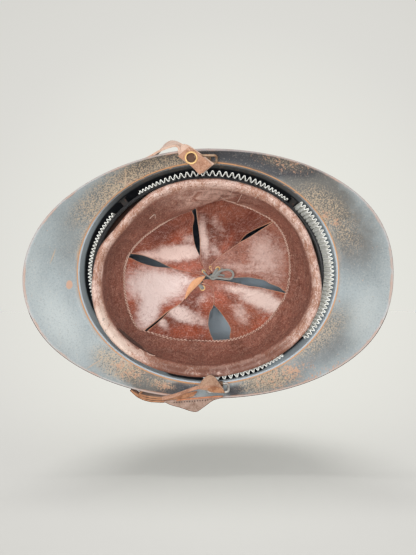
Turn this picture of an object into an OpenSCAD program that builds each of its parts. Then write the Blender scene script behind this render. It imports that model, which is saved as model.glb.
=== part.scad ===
// First World War infantry helmet with a crest, a two-part brim and a laced leather liner.
// +Z is up, +X is the wearer's left, -Y is the front, and the hem rests on z = 0.

/* [Brim] */
// Reach of the visor forward of the dome's foot
visor_reach = 42.5; // [36:0.5:50]
// Reach of the neck guard behind the dome's foot
guard_reach = 42.5; // [36:0.5:50]
// Reach of the brim beyond the dome's foot at the sides
side_reach = 12; // [10.5:0.5:18]
// Height of the hem at the sides over the hem at the front and rear
side_lift = 13; // [6:0.5:15]
// Roundness of the visor's outline, where 2 is an ellipse
visor_squareness = 2.0; // [1.9:0.05:2.4]
// Roundness of the neck guard's outline, where 2 is an ellipse
guard_squareness = 2.2; // [1.9:0.05:2.5]
// Sideways set of the visor's tip, left by wear
visor_lean = 4.5; // [0:0.5:6]
// Upward swell of the brim between its edges
brim_swell = 1.6; // [0:0.2:3]
// Radius of the rolled hem
hem_r = 1.3; // [1:0.1:1.8]

/* [Dome] */
// Length of the dome at its foot
dome_length = 215; // [190:1:240]
// Width of the dome at its foot
dome_width = 182; // [160:1:205]
// Height of the dome over its foot
dome_rise = 126; // [115:1:140]
// Fullness of the dome's curve, where 2 is an ellipse
dome_fullness = 2.2; // [2:0.02:2.4]
// Height of the crimped flange over the ground
flange_z = 22; // [20:0.5:26]
// Width of the crimped flange
flange_w = 3.4; // [2.5:0.1:4.2]
// Thickness of the steel sheet
sheet_t = 0.8; // [0.7:0.05:1]
// Length of the vent slot under the crest
vent_length = 52; // [40:1:66]
// Width of the vent slot under the crest
vent_width = 10; // [8:0.5:13]

/* [Crest] */
// Reach of the crest forward of the crown
crest_front = 78; // [70:1:84]
// Reach of the crest behind the crown
crest_rear = 88; // [80:1:92]
// Height of the crest over the dome
crest_height = 17; // [12:0.5:22]
// Width of the crest's hollow rib
crest_width = 15; // [14:0.5:20]
// Width of the crest's flange on each side
crest_flange = 4.5; // [4:0.5:6]

/* [Liner] */
// Width of the channel between the dome's foot and the leather rim, at the front and rear
channel_ends = 13.3; // [12.5:0.1:16]
// Width of that channel at the sides
channel_sides = 12.6; // [12.2:0.1:15]
// Height of the leather rim over the ground
rim_z = 19; // [17:0.5:21]
// Height of the seam between the band and the tongues
crown_z = 66; // [60:1:72]
// Inward lean of the band, from its rim to the seam ring, at the front and rear
band_lean_ends = 22.7; // [16:0.5:28]
// Inward lean of the band at the sides
band_lean_sides = 15.4; // [10:0.5:20]
// Height of the rim's fold behind the band
fold_height = 22; // [16:0.5:26]
// How far the rim's right side has spread outward under the strips, left by wear
rim_spread = 8; // [0:0.5:8]
// Sideways set of the seam ring, left by wear
crown_shift = 2.5; // [0:0.5:4]
// Rise of the tongues from the seam ring to their tips
tongue_rise = 38; // [28:1:44]
// Thickness of the leather
leather_t = 1.6; // [1.2:0.1:2]
// Thickness of the felt band
felt_t = 1.4; // [1:0.1:1.8]
// Height of the felt band
felt_height = 30; // [24:1:32]

/* [Corrugated strips] */
// Height of the strips
strip_height = 26; // [20:1:28]
// Depth of the flutes
flute_depth = 4.6; // [4:0.1:5]
// Depth of the front strip's finer flutes
front_flute_depth = 3; // [2.4:0.1:4.6]
// Thickness of the aluminium sheet
strip_t = 0.5; // [0.4:0.05:0.7]
// Number of flutes on each side strip
side_flutes = 32; // [20:1:34]
// Number of flutes on the front strip
front_flutes = 37; // [22:1:39]
// Number of flutes on the rear strip
rear_flutes = 31; // [20:1:34]

/* [Strap and fittings] */
// Width of the chin strap
strap_width = 13; // [11:0.5:15]
// Thickness of the chin strap
strap_t = 2.2; // [1.8:0.1:2.4]
// Distance that the strap's folds stand out from the brim
strap_stand = 6.2; // [4:0.2:8]
// Distance of the strap's folds forward of the wire loops
strap_ahead = 28; // [24:1:32]
// Width of the wire loops
bail_width = 20; // [17:0.5:23]
// Length of the wire loops
bail_length = 9; // [8:0.5:10]
// Diameter of the loops' wire
wire_d = 2; // [1.8:0.1:2.2]
// Bend radius at the loops' corners
bail_bend = 2.4; // [1.8:0.2:3]
// Set of the left loop towards the front
left_bail_set = 2; // [0:0.5:5]
// Set of the right loop towards the rear
right_bail_set = 8; // [4:0.5:10]
// Width of the loops' clips
clip_width = 9; // [7:0.5:11]
// Diameter of the rivets' shanks
rivet_d = 2.6; // [2.2:0.1:3]
// Outer diameter of the tongues' eyelets
eyelet_d = 6.4; // [5.8:0.2:7]
// Outer diameter of the strap's eyelet
strap_eyelet_d = 10; // [8:0.5:11]
// Length of the strap's left end, from the loop's side to its fold
tab_length = 24; // [22:0.5:27]

/* [Hidden] */
// Clearances between pieces that touch
metal_gap = 0.15;
crest_gap = 0.35;
soft_gap = 0.3;
run_gap = 0.05;

dome_ry = dome_length / 2;
dome_rx = dome_width / 2;
half_w = dome_rx + side_reach;
vent_ry = vent_length / 2;
vent_rx = vent_width / 2;

// Brim's inner edge, just under the flange
brim_z = flange_z - sheet_t - metal_gap;
brim_ix = dome_rx + sheet_t;
brim_iy = dome_ry + sheet_t;
// Angle where the visor meets the neck guard, from the rear
seam_a = 96;
seam_play = 0.08;

// Liner rings
rim_ry = dome_ry - channel_ends;
rim_rx = dome_rx - channel_sides;
flap_set = 0.4;
flap_out = leather_t / 2 + flap_set;
felt_in = flap_out + soft_gap;
felt_out = felt_in + felt_t;
felt_z = rim_z + 7;
// The rear strip stands out from the felt at its foot and leans in to it, and the right one
// stands out all the way
rear_strip_out = 4.5;
rear_strip_lean = 9.5;
right_strip_out = 2.2;
// Angles that the strips cover, from the rear towards the wearer's left
left_strip = [48, 126];
right_strip = [-52, -130];
front_strip = [143, 218];
rear_strip = [42, -38];
// Angles of the liner tabs, between the strips
tab_angles = [45, 134.5, 224, 315];

// Angles where the slits leave the seam ring, from the rear towards the wearer's left
slit_a = [-136, -78, -16.5, 37, 98, 170.5];
// Widths of the slits at the seam ring
slit_w = [3, 18, 6, 5, 5.5, 6];
slit_min = 0.7;
tongue_twist = 20;
tip_r = 5;
eyelet_ring = 12.5;
tip_flat = 0.3;
// Share of a tongue's length left at the seam, where it meets the band edge to edge
tongue_seat = 0.02;

// Strap fittings
bail_x = dome_rx;
bail_z = flange_z - 4.6;
bar_run_x = half_w - hem_r - brim_ix;
bar_drop = brim_z - side_lift - hem_r;
clip_tilt = atan2(bar_drop, bar_run_x);
bail_tilt = clip_tilt + 14;
wire_r = wire_d / 2;
clip_t = 0.8;
clip_reach = bail_length - wire_d - 0.6;
rivet_reach = clip_reach - 2.6;
tab_t = 1.8;
tab_z = bail_z - bail_length * sin(bail_tilt);
tab_x = bail_x + bail_length * cos(bail_tilt);
tab_low = wire_r + soft_gap + tab_t;
// Middle and heading of the left tab, from the middle of its loop's free bar
left_tab_at = [-3.2, -9];
left_tab_sag = 0.6;
tab_heading = 54.6;
eyelet_reach = 3.4;

// Strap's circular stretch round the front of the dome
buckle_play = 3;
arc_y = dome_ry + sheet_t / 2 + buckle_play + strap_t / 2 + 0.4;
// A little rounder than the dome's foot at the front
arc_ease = 3;
arc_r = dome_rx * dome_rx / dome_ry + arc_ease;
arc_c = arc_r - arc_y;
arc_half = 40;
strap_z = flange_z + strap_width / 2 + 4;
buckle_wire = 1.3;
buckle_length = 11;

paint = "slategray";
bare_metal = "silver";
hide = "sienna";
suede = "peru";

// Plain helpers
function lerp(a, b, t) = a + (b - a) * t;
function ease(a, b, x) = let (t = min(1, max(0, (x - a) / (b - a)))) t * t * (3 - 2 * t);
function unit(v) = v / norm(v);
function power(x, p) = sign(x) * pow(abs(x), p);
function turned(list) = [for (i = [len(list) - 1 : -1 : 0]) list[i]];

// A point on a ring, given its half width, half length, height, side shift and squareness
function on_ring(e, a) =
    [e[3] + e[0] * power(sin(a), 2 / e[4]), e[1] * power(cos(a), 2 / e[4]), e[2]];

// A sheet's closed section from the line along its middle
function sheet_normal(c, i) =
    let (p = c[max(0, i - 1)], q = c[min(len(c) - 1, i + 1)],
         d = unit([q[0] - p[0], q[2] - p[2]]))
    [d[1], d[1], -d[0], 0, 0];
function sheet_section(c, t) = concat(
    [for (i = [0 : len(c) - 1]) c[i] + sheet_normal(c, i) * t / 2],
    turned([for (i = [0 : len(c) - 1]) c[i] - sheet_normal(c, i) * t / 2]));

// A solid skinned over rings of points, closed on itself or capped like a ladder
module skin(rings, closed = false) {
    n = len(rings);
    m = len(rings[0]);
    last = closed ? n - 1 : n - 2;
    walls = [for (i = [0 : last], j = [0 : m - 1])
        let (k = (i + 1) % n, l = (j + 1) % m)
        each [[i * m + j, k * m + j, k * m + l], [i * m + j, k * m + l, i * m + l]]];
    caps = closed ? [] : [for (j = [0 : m / 2 - 2])
        let (a = j, b = j + 1, c = m - 2 - j, d = m - 1 - j, e = (n - 1) * m)
        each [[a, b, d], [b, c, d], [e + b, e + a, e + d], [e + c, e + b, e + d]]];
    polyhedron(points = [for (r = rings) each r], faces = concat(walls, caps));
}

// Dome: the height of its middle surface for a share f of the way out from the vent
function dome_h(f) = pow(max(0, 1 - pow(f, dome_fullness)), 1 / dome_fullness);
function dome_ring(f) =
    [lerp(vent_rx, dome_rx, f), lerp(vent_ry, dome_ry, f), flange_z + dome_rise * dome_h(f), 0, 2];
// Share f of the dome's ring that passes over a point in plan, found by halving
function dome_share(x, y, lo = 0, hi = 1, n = 22) =
    n == 0 ? (lo + hi) / 2 :
    let (f = (lo + hi) / 2, e = dome_ring(f))
    (x * x / (e[0] * e[0]) + y * y / (e[1] * e[1]) > 1)
        ? dome_share(x, y, f, hi, n - 1) : dome_share(x, y, lo, f, n - 1);
function dome_z(x, y) = flange_z + sheet_t / 2 + dome_rise * dome_h(dome_share(x, y));
function dome_normal(x, y) =
    unit([dome_z(x - 1, y) - dome_z(x + 1, y), dome_z(x, y - 1) - dome_z(x, y + 1), 2]);

module dome_shell() {
    steps = 13;
    foot = dome_ring(1);
    line = concat(
        [foot + [flange_w, flange_w, 0, 0, 0]],
        [for (i = [0 : steps]) dome_ring(pow(cos(i * 90 / steps), 2 / dome_fullness))]);
    section = sheet_section(line, sheet_t);
    turns = 48;
    skin([for (i = [0 : turns - 1]) [for (e = section) on_ring(e, i * 360 / turns)]], closed = true);
}

module dome() {
    color(paint) difference() {
        dome_shell();
        rivet_holes();
    }
}

// Brim: its outer line, leaning at the visor's tip
function brim_out(a) =
    let (n = cos(a) < 0 ? visor_squareness : guard_squareness,
         reach = dome_ry + (cos(a) < 0 ? visor_reach : guard_reach) - hem_r,
         x = (half_w - hem_r) * power(sin(a), 2 / n),
         y = reach * power(cos(a), 2 / n),
         lean = y < 0 ? visor_lean * pow(-y / reach, 1.3) : 0)
    [x - lean, y, hem_r + side_lift * ease(0.42, 1, abs(x) / half_w)];
function brim_section(a) =
    let (p = [brim_ix * sin(a), brim_iy * cos(a), brim_z],
         q = brim_out(a),
         u = unit([q[0] - p[0], q[1] - p[1], 0]),
         t = [0, 0, sheet_t / 2],
         mid = [for (i = [0 : 4]) let (s = i / 4.6) lerp(p, q, s) + [0, 0, brim_swell * sin(180 * s)]],
         bead = [[-0.6, -1], [0.6, -1], [1, -0.4], [1, 0.4], [0.5, 1], [-0.6, 0.9]])
    concat([for (c = mid) c - t],
           [for (b = bead) q + u * b[0] * hem_r + [0, 0, b[1] * hem_r]],
           [for (i = [4 : -1 : 0]) mid[i] + t]);
module brim_part(from, to) {
    steps = 30;
    skin([for (i = [0 : steps]) brim_section(lerp(from, to, i / steps))]);
}
module visor() {
    color(paint) difference() {
        brim_part(seam_a + seam_play, 360 - seam_a - seam_play);
        bail_rivet_holes();
    }
}
module neck_guard() {
    color(paint) difference() {
        brim_part(-seam_a + seam_play, seam_a - seam_play);
        bail_rivet_holes();
    }
}

// Crest: a hollow comb whose flanges follow the dome
module crest_shell() {
    steps = 22;
    function bulk(u) = pow(max(0, sin(180 * ease(0.06, 0.94, u))), 0.55);
    skin([for (i = [0 : steps])
        let (u = i / steps,
             y = lerp(-crest_front, crest_rear, u),
             h = sheet_t + 0.3 + (crest_height - sheet_t) * bulk(u),
             w = crest_width / 2 * lerp(0.45, 1, bulk(u)),
             n = dome_normal(0, y),
             arch = [[-w - crest_flange, 0], [-w - 0.6, 0], [-w, 0.12], [-w * 0.86, 0.62],
                     [-w * 0.5, 0.93], [0, 1], [w * 0.5, 0.93], [w * 0.86, 0.62],
                     [w, 0.12], [w + 0.6, 0], [w + crest_flange, 0]],
             top = [for (p = arch) [p[0], sheet_t + (h - sheet_t) * p[1]]],
             under = [for (p = arch) [p[0] * (1 - 0.9 * sheet_t / w * min(1, p[1] * 9)),
                                      (h - sheet_t) * p[1] * 0.98]])
        [for (p = concat(top, turned(under)))
            let (z = dome_z(p[0], y) + crest_gap / n[2])
            [p[0], y + n[1] * p[1],
             z + n[2] * p[1] + (p[1] > sheet_t ? dome_z(0, y) - dome_z(p[0], y) : 0)]]]);
}

// Rivets of the crest: one at each end and one on each side
crest_rivet_at = [[0, 3 - crest_front], [0, crest_rear - 3],
                  [crest_width / 2 + crest_flange / 2, 6], [-crest_width / 2 - crest_flange / 2, 6]];
module at_rivets() {
    for (p = crest_rivet_at) {
        n = dome_normal(p[0], p[1]);
        translate([p[0], p[1], dome_z(p[0], p[1])])
            rotate([0, acos(n[2]), atan2(n[1], n[0])]) children();
    }
}
module rivet_holes() {
    at_rivets() translate([0, 0, -4]) cylinder(d = rivet_d + 2 * run_gap, h = 12, $fn = 20);
}
module crest() {
    color(paint) difference() {
        crest_shell();
        rivet_holes();
    }
}
module crest_rivets() {
    color(paint) at_rivets() translate([0, 0, -sheet_t - 0.1]) rivet_body();
}
module rivet_body() {
    grip = 2 * sheet_t + crest_gap + 0.9;
    head_r = rivet_d * 0.85;
    rotate_extrude($fn = 24) polygon([[0, -1], [rivet_d * 0.75, -0.9], [rivet_d * 0.75, -0.35],
        [rivet_d / 2, -0.35], [rivet_d / 2, grip], [head_r, grip], [head_r * 0.8, grip + 0.8],
        [head_r * 0.4, grip + 1.1], [0, grip + 1.2]]);
}

// Corrugated strips: a fluted sheet bent round the liner, the side ones with finer, shallower
// flutes towards their ends
fine_ends = 0.3;
shallow_ends = 0.5;
module corrugated_strip(span, flutes, fine, depth = flute_depth, out = 0) {
    per = 6;
    n = flutes * per;
    mid = felt_out + soft_gap + depth / 2 + out;
    rx = rim_rx + mid;
    ry = rim_ry + mid;
    swing = (depth - strip_t) / 2;
    function spread(s) = s - fine * sin(360 * s) / 6.3;
    function share(s) = fine > 0 ? lerp(shallow_ends, 1, ease(0, 0.4, min(s, 1 - s))) : 1;
    // The flutes' inner crests all touch the felt
    function wave(i) = [0, 0.9, 1, 0.1, -0.9, -1][i % per] * swing * share(i / n)
        - swing * (1 - share(i / n));
    line = [for (i = [0 : n])
        let (a = lerp(span[0], span[1], spread(i / n)), u = unit([sin(a) / rx, cos(a) / ry]))
        [rx * sin(a), ry * cos(a)] + u * wave(i)];
    function side(i) = let (d = unit(line[min(n, i + 1)] - line[max(0, i - 1)])) [d[1], -d[0]];
    linear_extrude(height = strip_height)
        polygon(concat([for (i = [0 : n]) line[i] + side(i) * strip_t / 2],
                       [for (i = [n : -1 : 0]) line[i] - side(i) * strip_t / 2]));
}
module corrugated_strip_left() {
    color(bare_metal) translate([0, 0, felt_z]) corrugated_strip(left_strip, side_flutes, fine_ends);
}
module corrugated_strip_right() {
    color(bare_metal) translate([0, 0, felt_z])
        corrugated_strip(right_strip, side_flutes, fine_ends, out = right_strip_out);
}
module corrugated_strip_front() {
    color(bare_metal) translate([0, 0, felt_z])
        corrugated_strip(front_strip, front_flutes, 0, depth = front_flute_depth);
}
module corrugated_strip_rear() {
    color(bare_metal) translate([0, rear_strip_out + rim_ry, felt_z])
        rotate([rear_strip_lean, 0, 0]) translate([0, -rim_ry, 0])
            corrugated_strip(rear_strip, rear_flutes, 0);
}

// Liner tabs: bent steel tabs soldered to the dome between the strips
liner_tab_z = felt_z + 16;
module liner_tabs() {
    color(bare_metal) for (a = tab_angles) {
        // The dome's ring at the tabs' upper end
        wall = dome_ring(0.98);
        p = [(wall[0] - sheet_t) * sin(a), (wall[1] - sheet_t) * cos(a)];
        q = [(rim_rx + felt_out) * sin(a), (rim_ry + felt_out) * cos(a)];
        u = unit([sin(a) / wall[0], cos(a) / wall[1]]);
        reach = (p - q) * u - soft_gap - 0.35;
        translate([p[0], p[1], liner_tab_z]) rotate([0, 0, atan2(u[1], u[0])]) {
            translate([-0.35 - 0.8, -4, 0]) cube([0.8, 8, 9]);
            translate([-reach, -2.5, 0]) cube([reach - 0.5, 5, 0.8]);
            translate([-reach, -2.5, -5]) cube([0.8, 5, 5.5]);
        }
    }
}

// Felt band and sweatband
module ring_sheet(line, t, turns = 44) {
    section = sheet_section(line, t);
    skin([for (i = [0 : turns - 1]) [for (e = section) on_ring(e, i * 360 / turns)]], closed = true);
}
module felt_band() {
    off = felt_in + felt_t / 2;
    color("dimgray") ring_sheet([for (z = [0, 0.5, 1])
        [rim_rx + off, rim_ry + off, felt_z + felt_height * z, 0, 2]], felt_t);
}
crown_e = [rim_rx - band_lean_sides, rim_ry - band_lean_ends, crown_z, crown_shift, 2.15];
module sweatband() {
    rim = [rim_rx, rim_ry, rim_z, 0, 2];
    // Half of the spread widens a ring and half moves it to the right
    spread = [1, 0, 0, -1, 0] * rim_spread / 2;
    half = leather_t / 2;
    band = [rim_rx - 4.6, rim_ry - 4.6, rim_z + 4, 0, 2];
    top = crown_e + [half, half, 0, 0, 0];
    line = concat(
        [rim + [flap_set, flap_set, fold_height, 0, 0], rim + [flap_set, flap_set, 9, 0, 0],
         rim + [0.1, 0.1, 5, 0, 0] + spread * 0.06, rim + [0, 0, 4.2, 0, 0] + spread * 0.85,
         rim + [-1, -1, 1.2, 0, 0] + spread, rim + [-2.6, -2.6, 0.8, 0, 0] + spread,
         rim + [-4, -4, 2, 0, 0] + spread, rim + [-5, -5, 4.6, 0, 0] + spread * 0.2],
        [for (s = [0.1, 0.2, 0.38, 0.58, 0.8, 1])
            lerp(band, top, s) + [1, 1, 0, 0, 0] * 4.5 * sin(180 * s)]);
    color(hide) ring_sheet(line, leather_t);
}

// Tongues: leaves of leather from the seam ring to the crown, with a slit between each pair
function tongue_z(r) = crown_z + tongue_rise * (1 - pow(max(0, (r - tip_flat) / (1 - tip_flat)), 2));
function tongue_point(k, u, v, side) =
    let (a0 = slit_a[k], a1 = k == 5 ? slit_a[0] + 360 : slit_a[k + 1],
         w0 = slit_w[k], w1 = slit_w[(k + 1) % 6],
         a = lerp(a0, a1, v),
         rim = on_ring(crown_e, a),
         tip = [crown_shift + tip_r * sin(a + tongue_twist), tip_r * cos(a + tongue_twist), 0],
         g = (1 - v) * lerp(w0, slit_min, min(1, u * 1.7)) - v * lerp(w1, slit_min, min(1, u * 1.7)),
         p = lerp(rim, tip, u) + [cos(a), -sin(a), 0] * g / 2,
         r = norm([(p[0] - crown_shift) / crown_e[0], p[1] / crown_e[1]]))
    [p[0], p[1], tongue_z(r) + side * leather_t / 2];
module tongue(k) {
    ups = 9;
    across = 5;
    color(hide) difference() {
        skin([for (i = [0 : ups]) let (u = lerp(tongue_seat, 1, i / ups)) concat(
            [for (j = [0 : across]) tongue_point(k, u, j / across, -1)],
            [for (j = [across : -1 : 0]) tongue_point(k, u, j / across, 1)])]);
        tongue_eyelet_place(k) cylinder(d = eyelet_d * 0.6, h = 8, center = true, $fn = 20);
    }
}
module tongue_eyelet_place(k) {
    a0 = slit_a[k];
    a1 = k == 5 ? slit_a[0] + 360 : slit_a[k + 1];
    a = (a0 + a1) / 2 + tongue_twist * 0.8;
    translate([crown_shift + eyelet_ring * sin(a), eyelet_ring * cos(a), crown_z + tongue_rise])
        children();
}
// An eyelet's barrel fits a hole 0.6 of its outer diameter
module eyelet(d, grip) {
    bore = d * 0.23;
    barrel = d * 0.3 - run_gap;
    lip = d / 2;
    for (s = [0, 1]) mirror([0, 0, s]) rotate_extrude($fn = 32)
        polygon([[bore, 0], [barrel, 0], [barrel, grip / 2 + run_gap], [lip, grip / 2 + run_gap],
                 [lip - 0.3, grip / 2 + 0.5], [bore + 0.4, grip / 2 + 0.6], [bore, grip / 2 + 0.2]]);
}
module tongue_1() { tongue(0); }
module tongue_2() { tongue(1); }
module tongue_3() { tongue(2); }
module tongue_4() { tongue(3); }
module tongue_5() { tongue(4); }
module tongue_6() { tongue(5); }
module tongue_eyelets() {
    color("goldenrod") for (k = [0 : 5]) tongue_eyelet_place(k) eyelet(eyelet_d, leather_t);
}

// A tube swept along points
module tube(points, r, sides = 8) {
    n = len(points);
    function along(i) = unit(points[min(n - 1, i + 1)] - points[max(0, i - 1)]);
    skin([for (i = [0 : n - 1])
        let (d = along(i), b = unit(cross([0, 0, 1], d)), c = cross(d, b))
        [for (j = [0 : sides - 1]) points[i] + r * (b * cos(-j * 360 / sides) + c * sin(-j * 360 / sides))]]);
}
// Drawstring: once round under the eyelets, then a knot and the bow's loop and end
lace_r = 1.1;
lace_z = crown_z + tongue_rise - leather_t / 2 - 0.6 - soft_gap - lace_r;
lace_route = concat(
    [for (a = [30 : 24 : 366]) [9.2 * sin(a), 9.2 * cos(a), 0]],
    [[3.4, 7.6, -1.6], [0.8, 6.4, -2.6], [-1.8, 8, -3], [-3.4, 12, -3], [-4, 17, -3], [-2.6, 21.5, -3],
     [0.6, 22.6, -3], [2.6, 19.5, -3], [2.4, 14.5, -3.2], [1.2, 10, -3.8], [-0.6, 5, -5.2],
     [-3, 1, -5.4], [-6, -3, -5.2], [-8.5, -6, -4.6]]);
module drawstring() {
    color("darkkhaki") translate([crown_shift, 0, lace_z]) tube(lace_route, lace_r);
}

// Bails and their clips, in a frame at the loop's fixed bar with +X out and down
module side_frame(s, tilt) {
    mirror([s < 0 ? 1 : 0, 0, 0])
        translate([bail_x, s > 0 ? -left_bail_set : right_bail_set, bail_z])
            rotate([0, tilt, 0]) children();
}
module bail_wire() {
    half = bail_width / 2 - wire_r;
    straight_y = 2 * (half - bail_bend);
    for (x = [0, bail_length]) translate([x, 0, 0]) rotate([90, 0, 0])
        cylinder(d = wire_d, h = straight_y, center = true, $fn = 24);
    for (s = [0, 1]) mirror([0, s, 0]) translate([0, half, 0]) {
        translate([bail_bend, 0, 0]) rotate([0, 90, 0])
            cylinder(d = wire_d, h = bail_length - 2 * bail_bend, $fn = 24);
        for (x = [0, 1]) translate([x * bail_length, 0, 0]) mirror([x, 0, 0])
            translate([bail_bend, -bail_bend, 0]) rotate([0, 0, 90])
                rotate_extrude(angle = 90, $fn = 32) translate([bail_bend, 0]) circle(d = wire_d, $fn = 24);
    }
}
module left_bail() { color(bare_metal) side_frame(1, bail_tilt) bail_wire(); }
module right_bail() { color(bare_metal) side_frame(-1, bail_tilt) bail_wire(); }

module clip() {
    ear_r = wire_r + run_gap + clip_t;
    difference() {
        union() {
            rotate([90, 0, 0]) cylinder(r = ear_r, h = clip_width, center = true, $fn = 32);
            translate([0, -clip_width / 2, ear_r - clip_t]) cube([clip_reach, clip_width, clip_t]);
        }
        rotate([90, 0, 0]) cylinder(r = wire_r + run_gap, h = clip_width + 2, center = true, $fn = 32);
        translate([rivet_reach, 0, 0]) cylinder(d = rivet_d + 2 * run_gap, h = 6, $fn = 24);
    }
}
module left_bail_clip() { color(bare_metal) side_frame(1, clip_tilt) clip(); }
module right_bail_clip() { color(bare_metal) side_frame(-1, clip_tilt) clip(); }

// Height over the loop's bar, along the clip's normal, of the brim's upper face at the rivet
rivet_s = (rivet_reach * cos(clip_tilt) + bail_x - brim_ix) / (half_w - hem_r - brim_ix);
rivet_top = (brim_z - bar_drop * rivet_s + brim_swell * sin(180 * rivet_s) + sheet_t / 2
    - bail_z + rivet_reach * sin(clip_tilt)) * cos(clip_tilt) + 0.5;
module bail_rivet_holes() {
    for (s = [1, -1]) side_frame(s, clip_tilt) translate([rivet_reach, 0, 0])
        cylinder(d = rivet_d + 2 * run_gap, h = 12, $fn = 24);
}
module bail_rivets() {
    low = wire_r + run_gap - 0.1;
    head_r = rivet_d * 0.85;
    color(paint) for (s = [1, -1]) side_frame(s, clip_tilt) translate([rivet_reach, 0, 0])
        rotate_extrude($fn = 24) polygon([[0, low - 0.5], [rivet_d * 0.7, low - 0.4],
            [rivet_d * 0.7, low], [rivet_d / 2, low], [rivet_d / 2, rivet_top], [head_r, rivet_top],
            [head_r * 0.8, rivet_top + 0.8], [head_r * 0.4, rivet_top + 1.1], [0, rivet_top + 1.2]]);
}

// Strap tabs: the strap's folded ends, sewn round the loops' free bars
module tab_loop(width) {
    rotate([90, 0, 0]) difference() {
        cylinder(r = wire_r + soft_gap + tab_t, h = width, center = true, $fn = 32);
        cylinder(r = wire_r + soft_gap, h = width + 2, center = true, $fn = 32);
    }
}
module at_left_tab() {
    translate([tab_x + left_tab_at[0], left_tab_at[1] - left_bail_set,
               tab_z - tab_low - left_tab_sag])
        rotate([0, 0, -tab_heading]) children();
}
module strap_tab_left() {
    color(suede) difference() {
        union() {
            translate([tab_x, -left_bail_set - 1.5, tab_z]) tab_loop(strap_width - 3);
            at_left_tab() translate([-tab_length / 2, -strap_width / 2, 0])
                cube([tab_length, strap_width, tab_t]);
        }
        at_left_tab() translate([eyelet_reach, 0, 0])
            cylinder(d = strap_eyelet_d * 0.6, h = 8, center = true, $fn = 24);
    }
}
module strap_eyelet() {
    color("goldenrod") at_left_tab() translate([eyelet_reach, 0, tab_t / 2]) eyelet(strap_eyelet_d, tab_t);
}
// Outline of the right tab from its loop's free bar: the hood inward, the worn flap outward
hood = [[14.4, -8.5], [15.2, -6], [14.4, -3.5], [7.3, 2.2], [1, 2.5], [-5, -4.8]];
flap_tail = [[-7.6, -44], [-4.1, -44], [-2.1, -32], [2.9, -22], [6, -16.8]];
flap_tip = [-(half_w + strap_stand + strap_t / 2 - tab_x), -18.8];
module strap_tab_right() {
    color(suede) translate([-tab_x, right_bail_set, tab_z]) {
        translate([0, -2.4, 0]) tab_loop(strap_width - 3);
        translate([0, 0, -tab_low]) linear_extrude(height = tab_t)
            polygon(concat(hood, [flap_tip, flap_tip + [1, -3.7]], flap_tail));
    }
}

// Chin strap: a band standing on its edge, from apex to apex round the front of the dome
function arc_point(a) = [arc_r * sin(a), arc_c - arc_r * cos(a), strap_z];
strap_foot = tab_z - wire_r + strap_width / 2;
strap_drop = 7;
// The right side of the strap lies close along the brim
right_strap_stand = 0.8;
// One side of the strap, from its fold under the brim to the round stretch, as a cubic curve
function strap_side(fold, run, swing) =
    let (a = arc_point(arc_half), b = a + [cos(arc_half), sin(arc_half), 0] * swing,
         c = fold + unit([run[0], run[1], 0]) * swing * 0.75 + [0, 0, strap_drop])
    [for (i = [0 : 8]) let (t = i / 9, r = 1 - t)
        fold * r * r * r + c * 3 * r * r * t + b * 3 * r * t * t + a * t * t * t];
left_fold = [half_w + strap_stand, -left_bail_set - strap_ahead, strap_foot];
right_fold = [half_w + right_strap_stand, -strap_ahead, strap_foot];
strap_route = concat(
    strap_side(left_fold, [-1, -3], 24),
    [for (a = [arc_half : -5 : -arc_half]) arc_point(a)],
    [for (p = turned(strap_side(right_fold, [0.1, -1], 40))) [-p[0], p[1], p[2]]]);
module chin_strap() {
    n = len(strap_route);
    color(hide) skin([for (i = [0 : n - 1])
        let (p = strap_route[i],
             d = strap_route[min(n - 1, i + 1)] - strap_route[max(0, i - 1)],
             o = unit([d[1], -d[0], 0]) * strap_t / 2,
             h = [0, 0, strap_width / 2])
        [p - o - h, p - o + h, p + o + h, p + o - h]]);
}
// Buckle: a sleeve of sheet bent to the strap's curve, with a window in its front and back
module strap_buckle() {
    reach = strap_t / 2 + 0.4;
    tall = strap_width / 2 + 0.5;
    turn = buckle_length / arc_r * 180 / PI;
    window = (buckle_length - 2 * buckle_wire) / arc_r * 180 / PI;
    color(bare_metal) translate([0, arc_c, strap_z]) difference() {
        rotate([0, 0, -90 - turn / 2]) rotate_extrude(angle = turn, $fn = 360) difference() {
            translate([arc_r, 0])
                square([2 * (reach + buckle_wire), 2 * (tall + buckle_wire)], center = true);
            translate([arc_r, 0]) square([2 * reach, 2 * tall], center = true);
        }
        rotate([0, 0, -90 - window / 2]) translate([0, 0, -tall]) rotate_extrude(angle = window, $fn = 360)
            translate([arc_r - reach - 2, 0]) square([2 * reach + 4, 2 * tall]);
    }
}

dome();
visor();
neck_guard();
crest();
crest_rivets();
corrugated_strip_front();
corrugated_strip_rear();
corrugated_strip_left();
corrugated_strip_right();
liner_tabs();
felt_band();
sweatband();
tongue_1();
tongue_2();
tongue_3();
tongue_4();
tongue_5();
tongue_6();
tongue_eyelets();
drawstring();
left_bail();
right_bail();
left_bail_clip();
right_bail_clip();
bail_rivets();
chin_strap();
strap_tab_left();
strap_tab_right();
strap_eyelet();
strap_buckle();
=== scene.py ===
"""First World War infantry helmet, seen from below: crest, two-part brim and laced leather liner."""
from functools import lru_cache
import math
import bpy
from mathutils import Matrix, Vector, noise


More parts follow.
